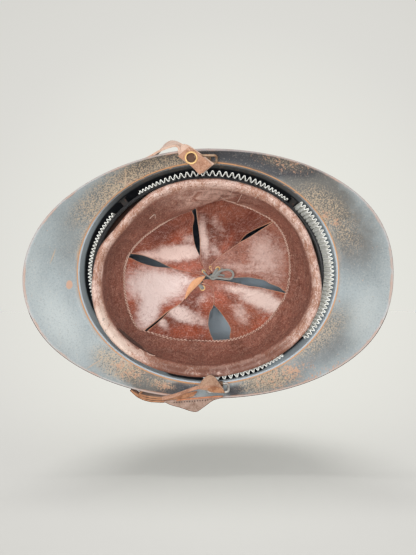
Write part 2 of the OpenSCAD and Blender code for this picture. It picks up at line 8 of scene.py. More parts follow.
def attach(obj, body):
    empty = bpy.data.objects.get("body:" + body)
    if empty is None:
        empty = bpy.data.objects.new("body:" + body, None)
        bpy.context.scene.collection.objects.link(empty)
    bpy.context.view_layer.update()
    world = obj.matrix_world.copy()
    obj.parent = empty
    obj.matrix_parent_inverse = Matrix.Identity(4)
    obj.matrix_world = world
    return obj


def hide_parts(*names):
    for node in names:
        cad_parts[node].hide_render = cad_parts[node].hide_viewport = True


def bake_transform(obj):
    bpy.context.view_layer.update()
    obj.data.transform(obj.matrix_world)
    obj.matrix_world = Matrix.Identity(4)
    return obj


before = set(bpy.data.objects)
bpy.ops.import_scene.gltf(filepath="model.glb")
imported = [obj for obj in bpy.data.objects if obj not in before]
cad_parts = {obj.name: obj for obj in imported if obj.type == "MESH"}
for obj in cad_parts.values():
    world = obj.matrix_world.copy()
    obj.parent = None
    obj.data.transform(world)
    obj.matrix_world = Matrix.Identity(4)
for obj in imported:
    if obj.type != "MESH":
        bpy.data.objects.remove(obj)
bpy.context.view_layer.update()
MM = 0.001
PLUMB = Vector((0, 0, 1))

# Camera: under the helmet, with its rear to the right and its left side up
EYE = Vector((0.030, 0.0, -0.700))
AIM = Vector((-0.002, 0.0, 0.0))
PICTURE = (416, 555)
FOCAL_PX = 868.5
SENSOR_MM = 36.0
LOOK = (AIM - EYE).normalized()
RIGHT = Vector((0, 1, 0))
UP = RIGHT.cross(LOOK)


def seen(px, py, z):
    """The place, in millimetres, that the camera sees at a pixel of the picture and at height z."""
    ray = LOOK * FOCAL_PX + RIGHT * (px - PICTURE[0] / 2) + UP * (PICTURE[1] / 2 - py)
    return (EYE + ray * ((z * MM - EYE.z) / ray.z)) / MM


def make_camera():
    """The camera, whose lens gives the focal length over the picture's greater side."""
    data = bpy.data.cameras.new("camera")
    data.sensor_width = SENSOR_MM
    data.lens = FOCAL_PX * SENSOR_MM / PICTURE[1]
    camera = bpy.data.objects.new("camera", data)
    bpy.context.collection.objects.link(camera)
    camera.location = EYE
    camera.rotation_mode = "QUATERNION"
    camera.rotation_quaternion = Matrix((RIGHT, UP, -LOOK)).transposed().to_quaternion()
    bpy.context.scene.camera = camera


make_camera()

# Sizes in millimetres, as in the helmet's construction
VISOR_REACH, GUARD_REACH, SIDE_REACH, SIDE_LIFT = 42.5, 42.5, 12.0, 13.0
VISOR_SQUARENESS, GUARD_SQUARENESS, VISOR_LEAN = 2.0, 2.2, 4.5
BRIM_SWELL, HEM_R = 1.6, 1.3
DOME_RY, DOME_RX, DOME_RISE, DOME_FULLNESS = 107.5, 91.0, 126.0, 2.2
FLANGE_Z, FLANGE_W, SHEET_T = 22.0, 3.4, 0.8
VENT_RX, VENT_RY = 5.0, 26.0
CREST_FRONT, CREST_REAR, CREST_HEIGHT, CREST_WIDTH, CREST_FLANGE = 78.0, 88.0, 17.0, 15.0, 4.5
METAL_GAP, CREST_GAP, SOFT_GAP = 0.15, 0.35, 0.3
SEAM_A, SEAM_GAP_A = 96.0, 0.08
RIM_RY, RIM_RX, RIM_Z = 94.2, 78.4, 19.0
CROWN_Z, CROWN_SHIFT, TONGUE_RISE, FOLD_HEIGHT = 66.0, 2.5, 38.0, 22.0
LEATHER_T, FELT_T, FELT_HEIGHT, FELT_Z = 1.6, 1.4, 30.0, 26.0
FLAP_OUT = LEATHER_T / 2 + 0.4
FELT_IN = FLAP_OUT + SOFT_GAP
FELT_OUT = FELT_IN + FELT_T
STRIP_HEIGHT, FLUTE_DEPTH, FRONT_FLUTE_DEPTH, STRIP_T = 26.0, 4.6, 3.0, 0.5
HALF_W = DOME_RX + SIDE_REACH
BRIM_Z = FLANGE_Z - SHEET_T - METAL_GAP
BRIM_IX, BRIM_IY = DOME_RX + SHEET_T, DOME_RY + SHEET_T


# Plain helpers
def lerp(a, b, t):
    return a + (b - a) * t


def clamp(x):
    return min(1.0, max(0.0, x))


def ease(low, high, x):
    """0 below low, 1 above high, and smooth between."""
    t = clamp((x - low) / (high - low))
    return t * t * (3 - 2 * t)


def sin_d(a):
    return math.sin(math.radians(a))


def cos_d(a):
    return math.cos(math.radians(a))


def power(x, p):
    """A power that keeps the sign."""
    return math.copysign(abs(x) ** p, x)


def bump(x, middle, half_width):
    return math.exp(-((x - middle) / half_width) ** 2)


def ripple(x, y, z, size):
    """Smooth noise from -1 to 1 whose lumps are about size millimetres across."""
    return noise.noise(Vector((x, y, z)) / size)


def through(points, t, closed=False):
    """A point at share t of a smooth curve through a list of points."""
    n = len(points)
    spans = n if closed else n - 1
    x = t * spans
    i = min(int(math.floor(x)), spans - 1)
    f = x - i

    def at(k):
        return Vector(points[k % n]) if closed else Vector(points[max(0, min(n - 1, k))])
    a, b, c, d = at(i - 1), at(i), at(i + 1), at(i + 2)
    return (b * 2 + (c - a) * f + (a * 2 - b * 5 + c * 4 - d) * f * f
            + (b * 3 - a - c * 3 + d) * f ** 3) / 2


def evenly(points, count):
    """A smooth curve's points, spaced evenly along its length."""
    parts = 400
    fine = [through(points, i / parts) for i in range(parts + 1)]
    run = [0.0]
    for p, q in zip(fine, fine[1:]):
        run.append(run[-1] + (q - p).length)
    found, k = [], 0
    for i in range(count + 1):
        want = run[-1] * i / count
        while k < parts - 1 and run[k + 1] < want:
            k += 1
        span = run[k + 1] - run[k]
        found.append(fine[k].lerp(fine[k + 1], clamp((want - run[k]) / span) if span else 0))
    return found


# Modelling by hand: a primitive, then edit mode, then modifiers that are applied
def deselect():
    bpy.ops.object.select_all(action="DESELECT")


def pick_up(piece):
    """Selects one piece and nothing else."""
    deselect()
    bpy.context.view_layer.objects.active = piece
    piece.select_set(True)


def edit(piece, *steps):
    """Runs steps in edit mode with the whole mesh selected."""
    pick_up(piece)
    bpy.ops.object.mode_set(mode="EDIT")
    bpy.ops.mesh.select_all(action="SELECT")
    for step in steps:
        step()
    bpy.ops.object.mode_set(mode="OBJECT")


def finish_with(piece, kind, **settings):
    """Adds a modifier and applies it."""
    pick_up(piece)
    modifier = piece.modifiers.new(kind.lower(), kind)
    for name, value in settings.items():
        setattr(modifier, name, value)
    bpy.ops.object.modifier_apply(modifier=modifier.name)


def face_outwards(piece):
    edit(piece, lambda: bpy.ops.mesh.normals_make_consistent(inside=False))


def round_edges(piece, radius):
    finish_with(piece, "BEVEL", width=radius * MM, segments=2, limit_method="ANGLE")


def thicken(piece, wall, back=0, edge=0):
    """Gives a sheet its wall. Its back and its cut edge may wear the next finishes."""
    finish_with(piece, "SOLIDIFY", thickness=wall * MM, offset=0.0, use_even_offset=True,
                use_quality_normals=True, material_offset=back, material_offset_rim=edge)


def smooth(piece, angle):
    """Smooth shading, with edges kept sharp past an angle in degrees."""
    pick_up(piece)
    bpy.ops.object.shade_smooth_by_angle(angle=math.radians(angle))


def shaped_grid(name, across, along, place, closed_across=False, closed_along=False, measure=None):
    """A grid bent to shape: place(u, v) gives each corner in millimetres, with u and v from 0 to 1.

    Its UV map holds u and v, or two lengths in millimetres that measure(u, v) gives."""
    deselect()
    bpy.ops.mesh.primitive_grid_add(x_subdivisions=across, y_subdivisions=along, size=1)
    piece = bpy.context.object
    piece.name = piece.data.name = name
    flow = piece.data.uv_layers[0]
    flow.name = "flow"
    if measure:
        shares = [(corner.co.x + 0.5, corner.co.y + 0.5) for corner in piece.data.vertices]
        lengths = [Vector(measure(u, v)) * MM for u, v in shares]
        for loop in piece.data.loops:
            flow.data[loop.index].uv = lengths[loop.vertex_index]
    for corner in piece.data.vertices:
        corner.co = Vector(place(corner.co.x + 0.5, corner.co.y + 0.5)) * MM
    if closed_across or closed_along:
        edit(piece, lambda: bpy.ops.mesh.remove_doubles(threshold=1e-6))
    return piece


def joined(name, *pieces):
    """Several meshes made one piece."""
    deselect()
    for piece in pieces:
        piece.select_set(True)
    bpy.context.view_layer.objects.active = pieces[0]
    bpy.ops.object.join()
    piece = bpy.context.object
    piece.name = piece.data.name = name
    return piece


# Shader maths
class Flow:
    """A socket of a material's node tree, with arithmetic."""

    def __init__(self, tree, socket):
        self.tree = tree
        self.socket = socket

    def node(self, kind, settings=None, out=0, **values):
        """Adds a node. Settings come first, then each socket's value or link: s0, s1... by number."""
        made = self.tree.nodes.new(kind)
        for name, value in (settings or {}).items():
            if name == "stops":
                ramp = made.color_ramp.elements
                while len(ramp) < len(value):
                    ramp.new(0.5)
                for stop, (place, tint) in zip(ramp, value):
                    stop.position = place
                    stop.color = tint
            else:
                setattr(made, name, value)
        for name, value in values.items():
            socket = made.inputs[int(name[1:])]
            if isinstance(value, Flow):
                self.tree.links.new(value.socket, socket)
            else:
                socket.default_value = value
        return Flow(self.tree, made.outputs[out])

    def maths(self, operation, *others):
        sockets = {f"s{i + 1}": other for i, other in enumerate(others)}
        return self.node("ShaderNodeMath", {"operation": operation}, s0=self, **sockets)

    def __add__(self, other):
        return self.maths("ADD", other)

    __radd__ = __add__

    def __mul__(self, other):
        return self.maths("MULTIPLY", other)

    __rmul__ = __mul__

    def __sub__(self, other):
        return self.maths("SUBTRACT", other)

    def __rsub__(self, other):
        return self.node("ShaderNodeMath", {"operation": "SUBTRACT"}, s0=other, s1=self)

    def step(self, low, high):
        """0 below low, 1 above high, and smooth between."""
        return self.node("ShaderNodeMapRange", {"interpolation_type": "SMOOTHSTEP"},
                         s0=self, s1=low, s2=high, s3=0.0, s4=1.0)

    def noise(self, scale, detail=4.0, roughness=0.55, distortion=0.0):
        return self.node("ShaderNodeTexNoise", s0=self, s2=scale, s3=detail, s4=roughness,
                         s8=distortion)

    def cracks(self, scale):
        """Distance to the nearest edge between cells."""
        return self.node("ShaderNodeTexVoronoi", {"feature": "DISTANCE_TO_EDGE"}, s0=self, s2=scale)

    def mix(self, mask, other):
        """This colour where mask is 0, the other, a flow or a screen colour, where it is 1."""
        other = other if isinstance(other, Flow) else colour(*other)
        return self.node("ShaderNodeMix", {"data_type": "RGBA"}, out=2, s0=mask, s6=self, s7=other)

    def stretched(self, x, y, z):
        return self.node("ShaderNodeVectorMath", {"operation": "MULTIPLY"}, s0=self, s1=(x, y, z))

    def moved(self, x, y, z):
        return self.node("ShaderNodeVectorMath", {"operation": "ADD"}, s0=self, s1=(x, y, z))

    def part(self, axis):
        return self.node("ShaderNodeSeparateXYZ", out="XYZ".index(axis), s0=self)

    def oval(self, x, y, long, wide, turn, soft=0.2):
        """1 inside an oval in plan, in millimetres and degrees from +Y to +X, fading at its edge."""
        spot = self.node("ShaderNodeMapping", {"vector_type": "TEXTURE"}, s0=self,
                         s1=(x * MM, y * MM, 0), s2=(0, 0, math.radians(90 - turn)),
                         s3=(long * MM, wide * MM, 100))
        far = spot.node("ShaderNodeVectorMath", {"operation": "LENGTH"}, out=1, s0=spot)
        return 1 - far.step(soft, 1.0)

    def warped(self, scale, reach):
        """This place pushed about by noise, by up to reach millimetres."""
        push = self.node("ShaderNodeTexNoise", out=1, s0=self, s2=scale, s3=4.0, s4=0.6)
        pushed = push.node("ShaderNodeVectorMath", {"operation": "MULTIPLY_ADD"}, s0=push,
                           s1=(2 * reach * MM,) * 3, s2=self)
        return pushed.moved(*(-reach * MM,) * 3)

    def lines(self, scale, width, distortion):
        """Thin wandering lines, 1 at their middles."""
        off = (self.noise(scale, 3.0, 0.6, distortion) - 0.5).maths("ABSOLUTE")
        return 1 - off.step(0.0, width)

    def near(self, x, y, z, radius):
        """1 at a place in millimetres, falling to 0 at the radius."""
        far = self.node("ShaderNodeVectorMath", {"operation": "DISTANCE"}, out=1, s0=self,
                        s1=(x * MM, y * MM, z * MM))
        return 1 - far.step(0.0, radius * MM)


def colour(r, g, b):
    """A screen colour, from 0 to 255, as linear light."""
    def light(c):
        c = c / 255
        return c / 12.92 if c <= 0.04045 else ((c + 0.055) / 1.055) ** 2.4
    return (light(r), light(g), light(b), 1)


class Finish:
    """A material under way: its shader and the coordinates that its patterns read."""

    def __init__(self, name, **constants):
        self.material = bpy.data.materials.new(name)
        self.material.use_nodes = True
        self.tree = self.material.node_tree
        self.shader = self.tree.nodes["Principled BSDF"]
        for socket, value in constants.items():
            self.shader.inputs[socket.replace("_", " ")].default_value = value
        coordinates = self.tree.nodes.new("ShaderNodeTexCoord")
        self.place = Flow(self.tree, coordinates.outputs["Object"])
        self.flow = Flow(self.tree, coordinates.outputs["UV"])

    def plain(self, *tint):
        """A plain screen colour to start mixing from."""
        return self.place.node("ShaderNodeMix", {"data_type": "RGBA"}, out=2, s0=0.0,
                               s6=colour(*tint), s7=colour(*tint))

    def set(self, socket, flow):
        self.tree.links.new(flow.socket, self.shader.inputs[socket])

    def relief(self, height, depth, strength=1.0):
        """Bumps of a height field from 0 to 1, depth in millimetres."""
        raised = self.place.node("ShaderNodeBump", s0=strength, s1=depth * MM, s3=height)
        self.set("Normal", raised)


def wear(piece, *finishes):
    """Gives a piece its materials, keeping which face wears which."""
    which = [face.material_index for face in piece.data.polygons]
    piece.data.materials.clear()
    for finish in finishes:
        piece.data.materials.append(finish.material)
    for face, index in zip(piece.data.polygons, which):
        face.material_index = min(index, len(finishes) - 1)


def most(*masks):
    """The greatest of several masks."""
    found = masks[0]
    for mask in masks[1:]:
        found = found.maths("MAXIMUM", mask)
    return found


# Rings and surfaces of the helmet; angles are in degrees from the rear towards the wearer's left
def on_ring(rx, ry, z, a):
    return Vector((rx * sin_d(a), ry * cos_d(a), z))


def dome_h(f):
    """The dome's height, as a share of its rise, at a share of the way from the vent to the foot."""
    return max(0.0, 1 - f ** DOME_FULLNESS) ** (1 / DOME_FULLNESS)


def dome_point(f, a, out=0.0):
    """A place on the dome's middle surface, or out beyond it."""
    return on_ring(lerp(VENT_RX, DOME_RX, f) + out, lerp(VENT_RY, DOME_RY, f) + out,
                   FLANGE_Z + DOME_RISE * dome_h(f), a)


def dome_z(x, y):
    """Height of the dome's outer face over a point."""
    low, high = 0.0, 1.0
    for _ in range(22):
        f = (low + high) / 2
        rx, ry = lerp(VENT_RX, DOME_RX, f), lerp(VENT_RY, DOME_RY, f)
        if (x / rx) ** 2 + (y / ry) ** 2 > 1:
            low = f
        else:
            high = f
    return FLANGE_Z + SHEET_T / 2 + DOME_RISE * dome_h(low)


def dome_normal(x, y):
    return Vector((dome_z(x - 1, y) - dome_z(x + 1, y),
                   dome_z(x, y - 1) - dome_z(x, y + 1), 2)).normalized()


def brim_outer(a):
    """The middle of the rolled hem."""
    front = cos_d(a) < 0
    squareness = VISOR_SQUARENESS if front else GUARD_SQUARENESS
    reach = DOME_RY + (VISOR_REACH if front else GUARD_REACH) - HEM_R
    x = (HALF_W - HEM_R) * power(sin_d(a), 2 / squareness)
    y = reach * power(cos_d(a), 2 / squareness)
    lean = VISOR_LEAN * (-y / reach) ** 1.3 if y < 0 else 0
    return Vector((x - lean, y, HEM_R + SIDE_LIFT * ease(0.42, 1, abs(x) / HALF_W)))


def make_dome():
    """The skull: a flange, then the rise to the vent, a little dented, as one sheet."""
    flange_share = 0.06

    def place(u, v):
        a = 360 * u
        if v < flange_share:
            return dome_point(1, a, FLANGE_W * (1 - v / flange_share))
        s = (v - flange_share) / (1 - flange_share)
        p = dome_point(cos_d(90 * s) ** (2 / DOME_FULLNESS), a)
        dent = 0.35 * ripple(p.x, p.y, p.z, 34) * ease(0.0, 0.2, s) * (1 - ease(0.75, 0.85, s))
        return p + Vector((p.x, p.y, p.z - 60)).normalized() * dent
    shell = shaped_grid("dome_shell", 144, 64, place, closed_across=True)
    face_outwards(shell)
    shell.data.materials.append(None)
    shell.data.materials.append(None)
    thicken(shell, SHEET_T, back=1)
    smooth(shell, 40)
    return shell


def make_brim(name, start, end):
    """One half of the brim: a sheet that hangs from under the dome's flange to a rolled hem."""
    wall_share = 0.8
    roll_r = HEM_R - SHEET_T / 2

    def place(u, v):
        a = lerp(start, end, u)
        p = on_ring(BRIM_IX, BRIM_IY, BRIM_Z, a)
        q = brim_outer(a)
        out = Vector((q.x - p.x, q.y - p.y, 0)).normalized()
        if v <= wall_share:
            s = v / wall_share
            wave = 0.25 * ripple(p.x, p.y, 9 * s, 30) * math.sin(math.pi * s)
            crimp = 0.5 * bump(s, 0.045, 0.02)
            edge = q + Vector((0, 0, -roll_r)) - out * 0.4
            return lerp(p, edge, s) + Vector((0, 0, BRIM_SWELL * math.sin(math.pi * s) + wave - crimp))
        turn = math.radians(lerp(-90, 215, (v - wall_share) / (1 - wall_share)))
        return q + out * roll_r * math.cos(turn) + Vector((0, 0, roll_r * math.sin(turn)))

    def measure(u, v):
        """Distance from the inner edge and distance from the hem."""
        a = lerp(start, end, u)
        wide = (brim_outer(a) - on_ring(BRIM_IX, BRIM_IY, BRIM_Z, a)).length
        s = v / wall_share
        return (s * wide, (1 - s) * wide) if s <= 1 else (wide, -6 * (s - 1))
    part = shaped_grid(name, 150, 44, place, measure=measure)
    thicken(part, SHEET_T - 0.05)
    smooth(part, 40)
    return part


def make_crest():
    """The pressed comb: a hollow ridge over the vent, with a flange along each side."""
    ridge_share = 0.72

    def place(u, v):
        y = lerp(-CREST_FRONT, CREST_REAR, u)
        bulk = max(0.0, sin_d(180 * ease(0.06, 0.94, u))) ** 0.55
        h = 0.3 + (CREST_HEIGHT - SHEET_T) * bulk
        w = CREST_WIDTH / 2 * lerp(0.45, 1, bulk)
        s = 2 * v - 1
        if abs(s) > ridge_share:
            t = (abs(s) - ridge_share) / (1 - ridge_share)
            x = math.copysign(w + lerp(0.9, CREST_FLANGE, t), s)
            rise = 0.0
        else:
            t = abs(s) / ridge_share
            x = math.copysign((w - SHEET_T / 2) * min(1, math.sin(math.pi / 2 * t) ** 0.75), s)
            x += math.copysign(1.3 * ease(0.9, 1, t), s)
            rise = max(0.0, math.cos(math.pi / 2 * t)) ** 0.42 * (1 - ease(0.97, 1, t))
        n = dome_normal(0, y)
        level = lerp(dome_z(x, y), dome_z(0, y), min(1, rise * 4))
        lift = SHEET_T / 2 + CREST_GAP + (h - SHEET_T) * rise
        return Vector((x, y + n.y * lift, level + n.z * lift))
    comb = shaped_grid("crest_comb", 110, 56, place)
    thicken(comb, SHEET_T * 0.8)
    smooth(comb, 50)
    return comb


def make_strip(name, start, end, flutes, fine, depth, lean, out, out_fades):
    """A fluted sheet bent round the liner.

    Where fine isn't 0, it crowds the flutes towards the ends and flattens them there. The sheet leans
    in by lean at its top and stands out by out, or, where out_fades, only over its first half."""
    middle = FELT_OUT + SOFT_GAP + depth / 2
    rx, ry = RIM_RX + middle, RIM_RY + middle
    steps_per_flute = 14
    swing = (depth - STRIP_T) / 2

    def place(u, v):
        a = lerp(start, end, u - fine * sin_d(360 * u) / 6.3)
        side = Vector((sin_d(a) / rx, cos_d(a) / ry, 0)).normalized()
        share = lerp(0.5, 1, ease(0, 0.4, min(u, 1 - u))) if fine else 1
        turn = 360 * flutes * u
        wave = power(sin_d(turn), 0.85) * swing * share - swing * (1 - share)
        wave += 0.25 * ripple(a, 3.0, 7.0, 11)
        edge = 0.5 * ripple(a, 9.0, 2.0, 9) * (1 - v)
        reach = (out * (1 - ease(0.42, 0.62, u)) if out_fades else out) - lean * v
        return on_ring(rx, ry, FELT_Z + STRIP_HEIGHT * v + edge, a) + side * (wave + reach)
    strip = shaped_grid(name, flutes * steps_per_flute, 8, place)
    thicken(strip, STRIP_T)
    smooth(strip, 50)
    return strip


# Outline of the seam between the band and the tongues, as pixels of the picture, clockwise
SEAM_PX = [(191.5, 210.2), (208, 202.5), (221, 199.5), (238.3, 204.8), (257.4, 212.4), (273.3, 221.7),
           (282.3, 234.1), (288, 252), (289.3, 264), (288.3, 277.8), (285.5, 293.1), (276.5, 309),
           (257.4, 328.8), (238.3, 337.1), (214.5, 340), (191.5, 339), (172.4, 338), (159.6, 334.5),
           (148.8, 331.3), (138.6, 329.4), (130.3, 312.2), (125.5, 287.3), (124.9, 271.4), (129, 255.8),
           (140.5, 241.1), (153.3, 230.9), (166, 222.6), (178.8, 215.6)]


def polar(p):
    """A place's angle round the crown's middle."""
    return math.degrees(math.atan2(p[0] - CROWN_SHIFT, p[1])) % 360


def seam_radii():
    """The seam's distance from the crown's middle, degree by degree from 0 to 360, smoothed."""
    corners = [seen(px, py, CROWN_Z) for px, py in SEAM_PX]
    seam = sorted((polar(p), math.hypot(p.x - CROWN_SHIFT, p.y)) for p in corners)
    radii = []
    for degree in range(361):
        a = degree % 360
        before = [s for s in seam if s[0] <= a] or [(seam[-1][0] - 360, seam[-1][1])]
        after = [s for s in seam if s[0] > a] or [(seam[0][0] + 360, seam[0][1])]
        (a0, r0), (a1, r1) = before[-1], after[0]
        radii.append(lerp(r0, r1, (a - a0) / (a1 - a0)))
    for _ in range(6):
        radii = [(radii[i - 1 if i else 359] + 2 * radii[i] + radii[i + 1 if i < 360 else 1]) / 4
                 for i in range(361)]
    return radii


SEAM_RADII = seam_radii()


def seam_r(a):
    a = a % 360
    i = int(a)
    return lerp(SEAM_RADII[i], SEAM_RADII[i + 1], a - i)


def crown_z(x, y):
    """Height of the tongues' surface over a point."""
    r = math.hypot(x - CROWN_SHIFT, y) / seam_r(polar((x, y)))
    return CROWN_Z + TONGUE_RISE * (1 - (max(0.0, r - 0.3) / 0.7) ** 2)


def on_crown(px, py):
    """The place on the tongues' surface that the camera sees at a pixel of the picture."""
    z = 80.0
    for _ in range(10):
        p = seen(px, py, z)
        z = crown_z(p.x, p.y)
    return Vector((p.x, p.y, z))


def off_crown(px, py, off):
    """A place that stands off the tongues' surface by a height in millimetres."""
    p = on_crown(px, py)
    p.z += off
    return p


# How far the worn rim stands out of its even outline, in millimetres, every 15 degrees
RIM_OUT = (-1.5, -3.2, -1.8, -0.4, 0, 0, 0, 0, -1.0, -4.2, -5.0, -0.8,
           0.8, 4.8, 8.0, 9.2, 8.8, 8.0, 7.4, 6.6, 6.0, 5.2, 4.4, 2.4)


@lru_cache(maxsize=None)
def rim_out(a):
    """How far the worn rim stands out at any angle."""
    return through([(out, 0) for out in RIM_OUT], (a % 360) / 360, closed=True).x


def band_line(a):
    """The sweatband's section at an angle: the flap behind, the rolled rim, then up to the seam."""
    side = Vector((sin_d(a), cos_d(a), 0))
    rim = on_ring(RIM_RX, RIM_RY, RIM_Z, a)
    worn = rim_out(a) + 0.3 * ripple(side.x * 80, side.y * 80, 5.0, 13)
    tight = min(0, worn)

    def at(out, up):
        return rim + side * out + Vector((0, 0, up))
    heading = polar(rim)
    top_r = seam_r(heading) + LEATHER_T / 2
    top = Vector((CROWN_SHIFT + top_r * sin_d(heading), top_r * cos_d(heading), CROWN_Z))
    foot = at(-6.8 + 0.85 * worn, 4.8)
    sag = 8.5 * math.exp(-((a - 98 + 360 * (a > 278)) / 30) ** 2)
    flap = [at(0.4, FOLD_HEIGHT), at(0.5 + 0.9 * tight, 13), at(0.4 + tight, 8.6)]
    roll = [at(0.1 + 0.05 * worn + 0.95 * tight, 5.7), at(0.75 * worn + 0.25 * tight, 4.6),
            at(worn, 2.8), at(worn - 0.8, 0.6), at(worn - 2.8, 0.2), at(worn - 4.8, 1.6), foot]
    body = [foot.lerp(top, s) + side * (3.6 * sin_d(180 * s) - sag * sin_d(180 * s ** 1.25))
            for s in (0.16, 0.36, 0.58, 0.8, 0.93, 1)]
    return flap + roll + body


def band_section(a, v):
    """A place on the sweatband's section and the square direction to it there."""
    line = band_line(a)
    way = through(line, min(1, v + 0.01)) - through(line, max(0, v - 0.01))
    return through(line, v), Vector((cos_d(a), -sin_d(a), 0)).cross(way).normalized()


def make_band():
    """The sweatband with its flap and rolled rim: creased inside, puffed along the rim."""
    def place(u, v):
        p, face = band_section(360 * u, v)
        loose = ease(0.55, 0.72, v) * (1 - ease(0.944, 1, v))
        crease = 0.6 * ripple(p.x, p.y, p.z * 2.2, 17) * loose
        crease += 0.3 * (1 - abs(ripple(p.x + 40, p.y, p.z * 1.6, 9)) * 2) * loose
        rolled = bump(v, 0.43, 0.14)
        puffs = (0.22 * ripple(p.x, p.y, 20.0, 8) + 0.16 * ripple(p.x, p.y, 44.0, 3)) * rolled
        return p + face * (crease + puffs)
    band = shaped_grid("sweat_band", 300, 75, place, closed_across=True)
    thicken(band, LEATHER_T * 0.9)
    smooth(band, 60)
    return band


def make_felt():
    """The cloth band round the sweatband, a little fuzzy."""
    middle = (FELT_IN + FELT_OUT) / 2

    def place(u, v):
        a = 360 * u
        off = middle + 0.12 * ripple(sin_d(a) * 80, cos_d(a) * 90, 30 * v, 5)
        return on_ring(RIM_RX + off, RIM_RY + off, FELT_Z + FELT_HEIGHT * v, a)
    felt = shaped_grid("felt_wrap", 160, 16, place, closed_across=True)
    thicken(felt, FELT_T)
    smooth(felt, 50)
    return felt


# The tongues' edges, as pixels of the picture from the seam to the tip
EDGES = {
    "a_under": [(191, 209.5), (193.8, 217), (192.2, 227.4), (194.1, 242.4), (197.5, 252), (202, 260),
                (206.5, 268), (210.5, 273)],
    "a_over": [(132.5, 254), (141.8, 254.8), (150.7, 257.7), (159.6, 261.5), (172.4, 267.9),
               (185.2, 271.1), (197.9, 274.3), (208.5, 276.3)],
    "b_over": [(195.8, 207.5), (197.9, 223.3), (199.8, 239.2), (200.1, 255.2), (201.1, 261.5),
               (205, 269), (209.4, 274.3)],
    "b_under": [(273.6, 221.2), (263.8, 225.2), (254.2, 229.6), (245.9, 234.7), (240.2, 241.8),
                (234, 252), (225, 262), (215, 271)],
    "c_over": [(273.8, 221.4), (257.4, 231.9), (247.8, 237.9), (240.2, 242.1), (231.9, 247.8),
               (222.3, 254.5), (215.3, 260.3), (211.8, 264.7), (211.2, 268.5), (213, 272.5)],
    "c_lower": [(286, 292.6), (279.7, 287.3), (270.2, 283.5), (265, 280.3), (257.4, 278.7),
                (247.8, 277.1), (233.8, 277.8), (219, 278.7), (212, 277)],
    "d_upper": [(286, 293.4), (273.3, 290.5), (258.7, 287.3), (248.5, 286), (238.3, 283.5),
                (228.7, 281.6), (217.2, 280), (206.4, 279.3), (203, 280.5)],
    "d_under": [(228.7, 337.3), (230.5, 328.8), (229.3, 325), (224.9, 317.9), (219.1, 310.3),
                (213.1, 304), (206, 296), (202, 287)],
    "e_over": [(213.6, 338.4), (210.8, 333.9), (208.3, 325), (208.5, 318), (210, 311), (213.1, 305.8),
               (214.3, 298), (213.9, 291.5), (211, 287), (206.4, 284.3), (202.5, 283.2)],
    "e_under": [(148, 330.3), (159.6, 321.1), (167.9, 312.8), (183, 297), (190, 289), (199, 283.6)],
    "f_over": [(144.8, 330), (159.6, 318.3), (168.6, 310.9), (178.8, 304.5), (185.2, 298.2),
               (187.1, 290.5), (191.5, 282.2), (197.9, 277.8), (203.5, 276.5)],
    "f_under": [(128.3, 256.9), (140.5, 262.8), (153.3, 266.6), (162.8, 267.6), (172.4, 268.2),
                (186, 270), (199, 274)]}
CURLED_EDGE = [(185.2, 298.6), (187.1, 290.5), (191.5, 282.2), (197.9, 277.8), (204.8, 276.2)]
CURLED_TIP = [(185.4, 299), (190.3, 292.4), (194.7, 288), (201.1, 281.6), (204.9, 276.6)]


def make_tongue(name, first, last, billow, seed):
    """A leaf of leather between two edges, each given by its pixels and by how far it stands off
    the crown's surface. It bulges by billow."""
    steps = 60
    (edge_0, off_0), (edge_1, off_1) = first, last
    line_0 = evenly([Vector((*p, 0)) for p in edge_0], steps)
    line_1 = evenly([Vector((*p, 0)) for p in edge_1], steps)
    root_0, root_1 = on_crown(*edge_0[0]), on_crown(*edge_1[0])
    a0, a1 = polar(root_0), polar(root_1)
    a1 += 360 if a1 - a0 < -180 else -360 if a1 - a0 > 180 else 0

    def place(u, v):
        v = v ** 0.85
        a = lerp(a0, a1, u)
        r = seam_r(a)
        rim = Vector((CROWN_SHIFT + r * sin_d(a), r * cos_d(a), CROWN_Z))
        x = v * steps
        i = min(steps - 1, int(x))
        p0, p1 = line_0[i].lerp(line_0[i + 1], x - i), line_1[i].lerp(line_1[i + 1], x - i)
        q0, q1 = on_crown(p0.x, p0.y), on_crown(p1.x, p1.y)
        flat = q0.lerp(q1, u) + (rim - root_0.lerp(root_1, u)) * (1 - v) ** 1.4
        z = crown_z(flat.x, flat.y)
        swell = billow * math.sin(math.pi * u) * math.sin(math.pi * min(1, v * 1.15))
        grip = ease(0.0, 0.3, v)
        z += 1.5 * (1 - ease(0, 0.1, v)) + grip * lerp(off_0, off_1, u) - swell
        z += grip * (0.7 * ripple(flat.x, flat.y, seed, 22) + 0.22 * ripple(flat.x, flat.y, seed, 7))
        if v == 0:
            return flat + Vector((sin_d(a) * 3, cos_d(a) * 3, z - flat.z - 4.4))
        return Vector((flat.x, flat.y, z))
    leaf = shaped_grid(name, 40, 48, place)
    leaf.data.materials.append(None)
    leaf.data.materials.append(None)
    thicken(leaf, 1.2, edge=1)
    smooth(leaf, 50)
    return leaf


def make_curl():
    """The edge of one tongue that has curled over and shows its flesh side."""
    steps = 24
    outer = evenly([Vector((*p, 0)) for p in CURLED_EDGE], steps)
    inner = evenly([Vector((*p, 0)) for p in CURLED_TIP], steps)

    def place(u, v):
        i = round(v * steps)
        p = outer[i].lerp(inner[i], u)
        return off_crown(p.x, p.y, 0.8 * u - 2.4 - math.sin(math.pi * u))
    curl = shaped_grid("curled_edge", 8, steps, place)
    thicken(curl, 0.9)
    smooth(curl, 60)
    return curl


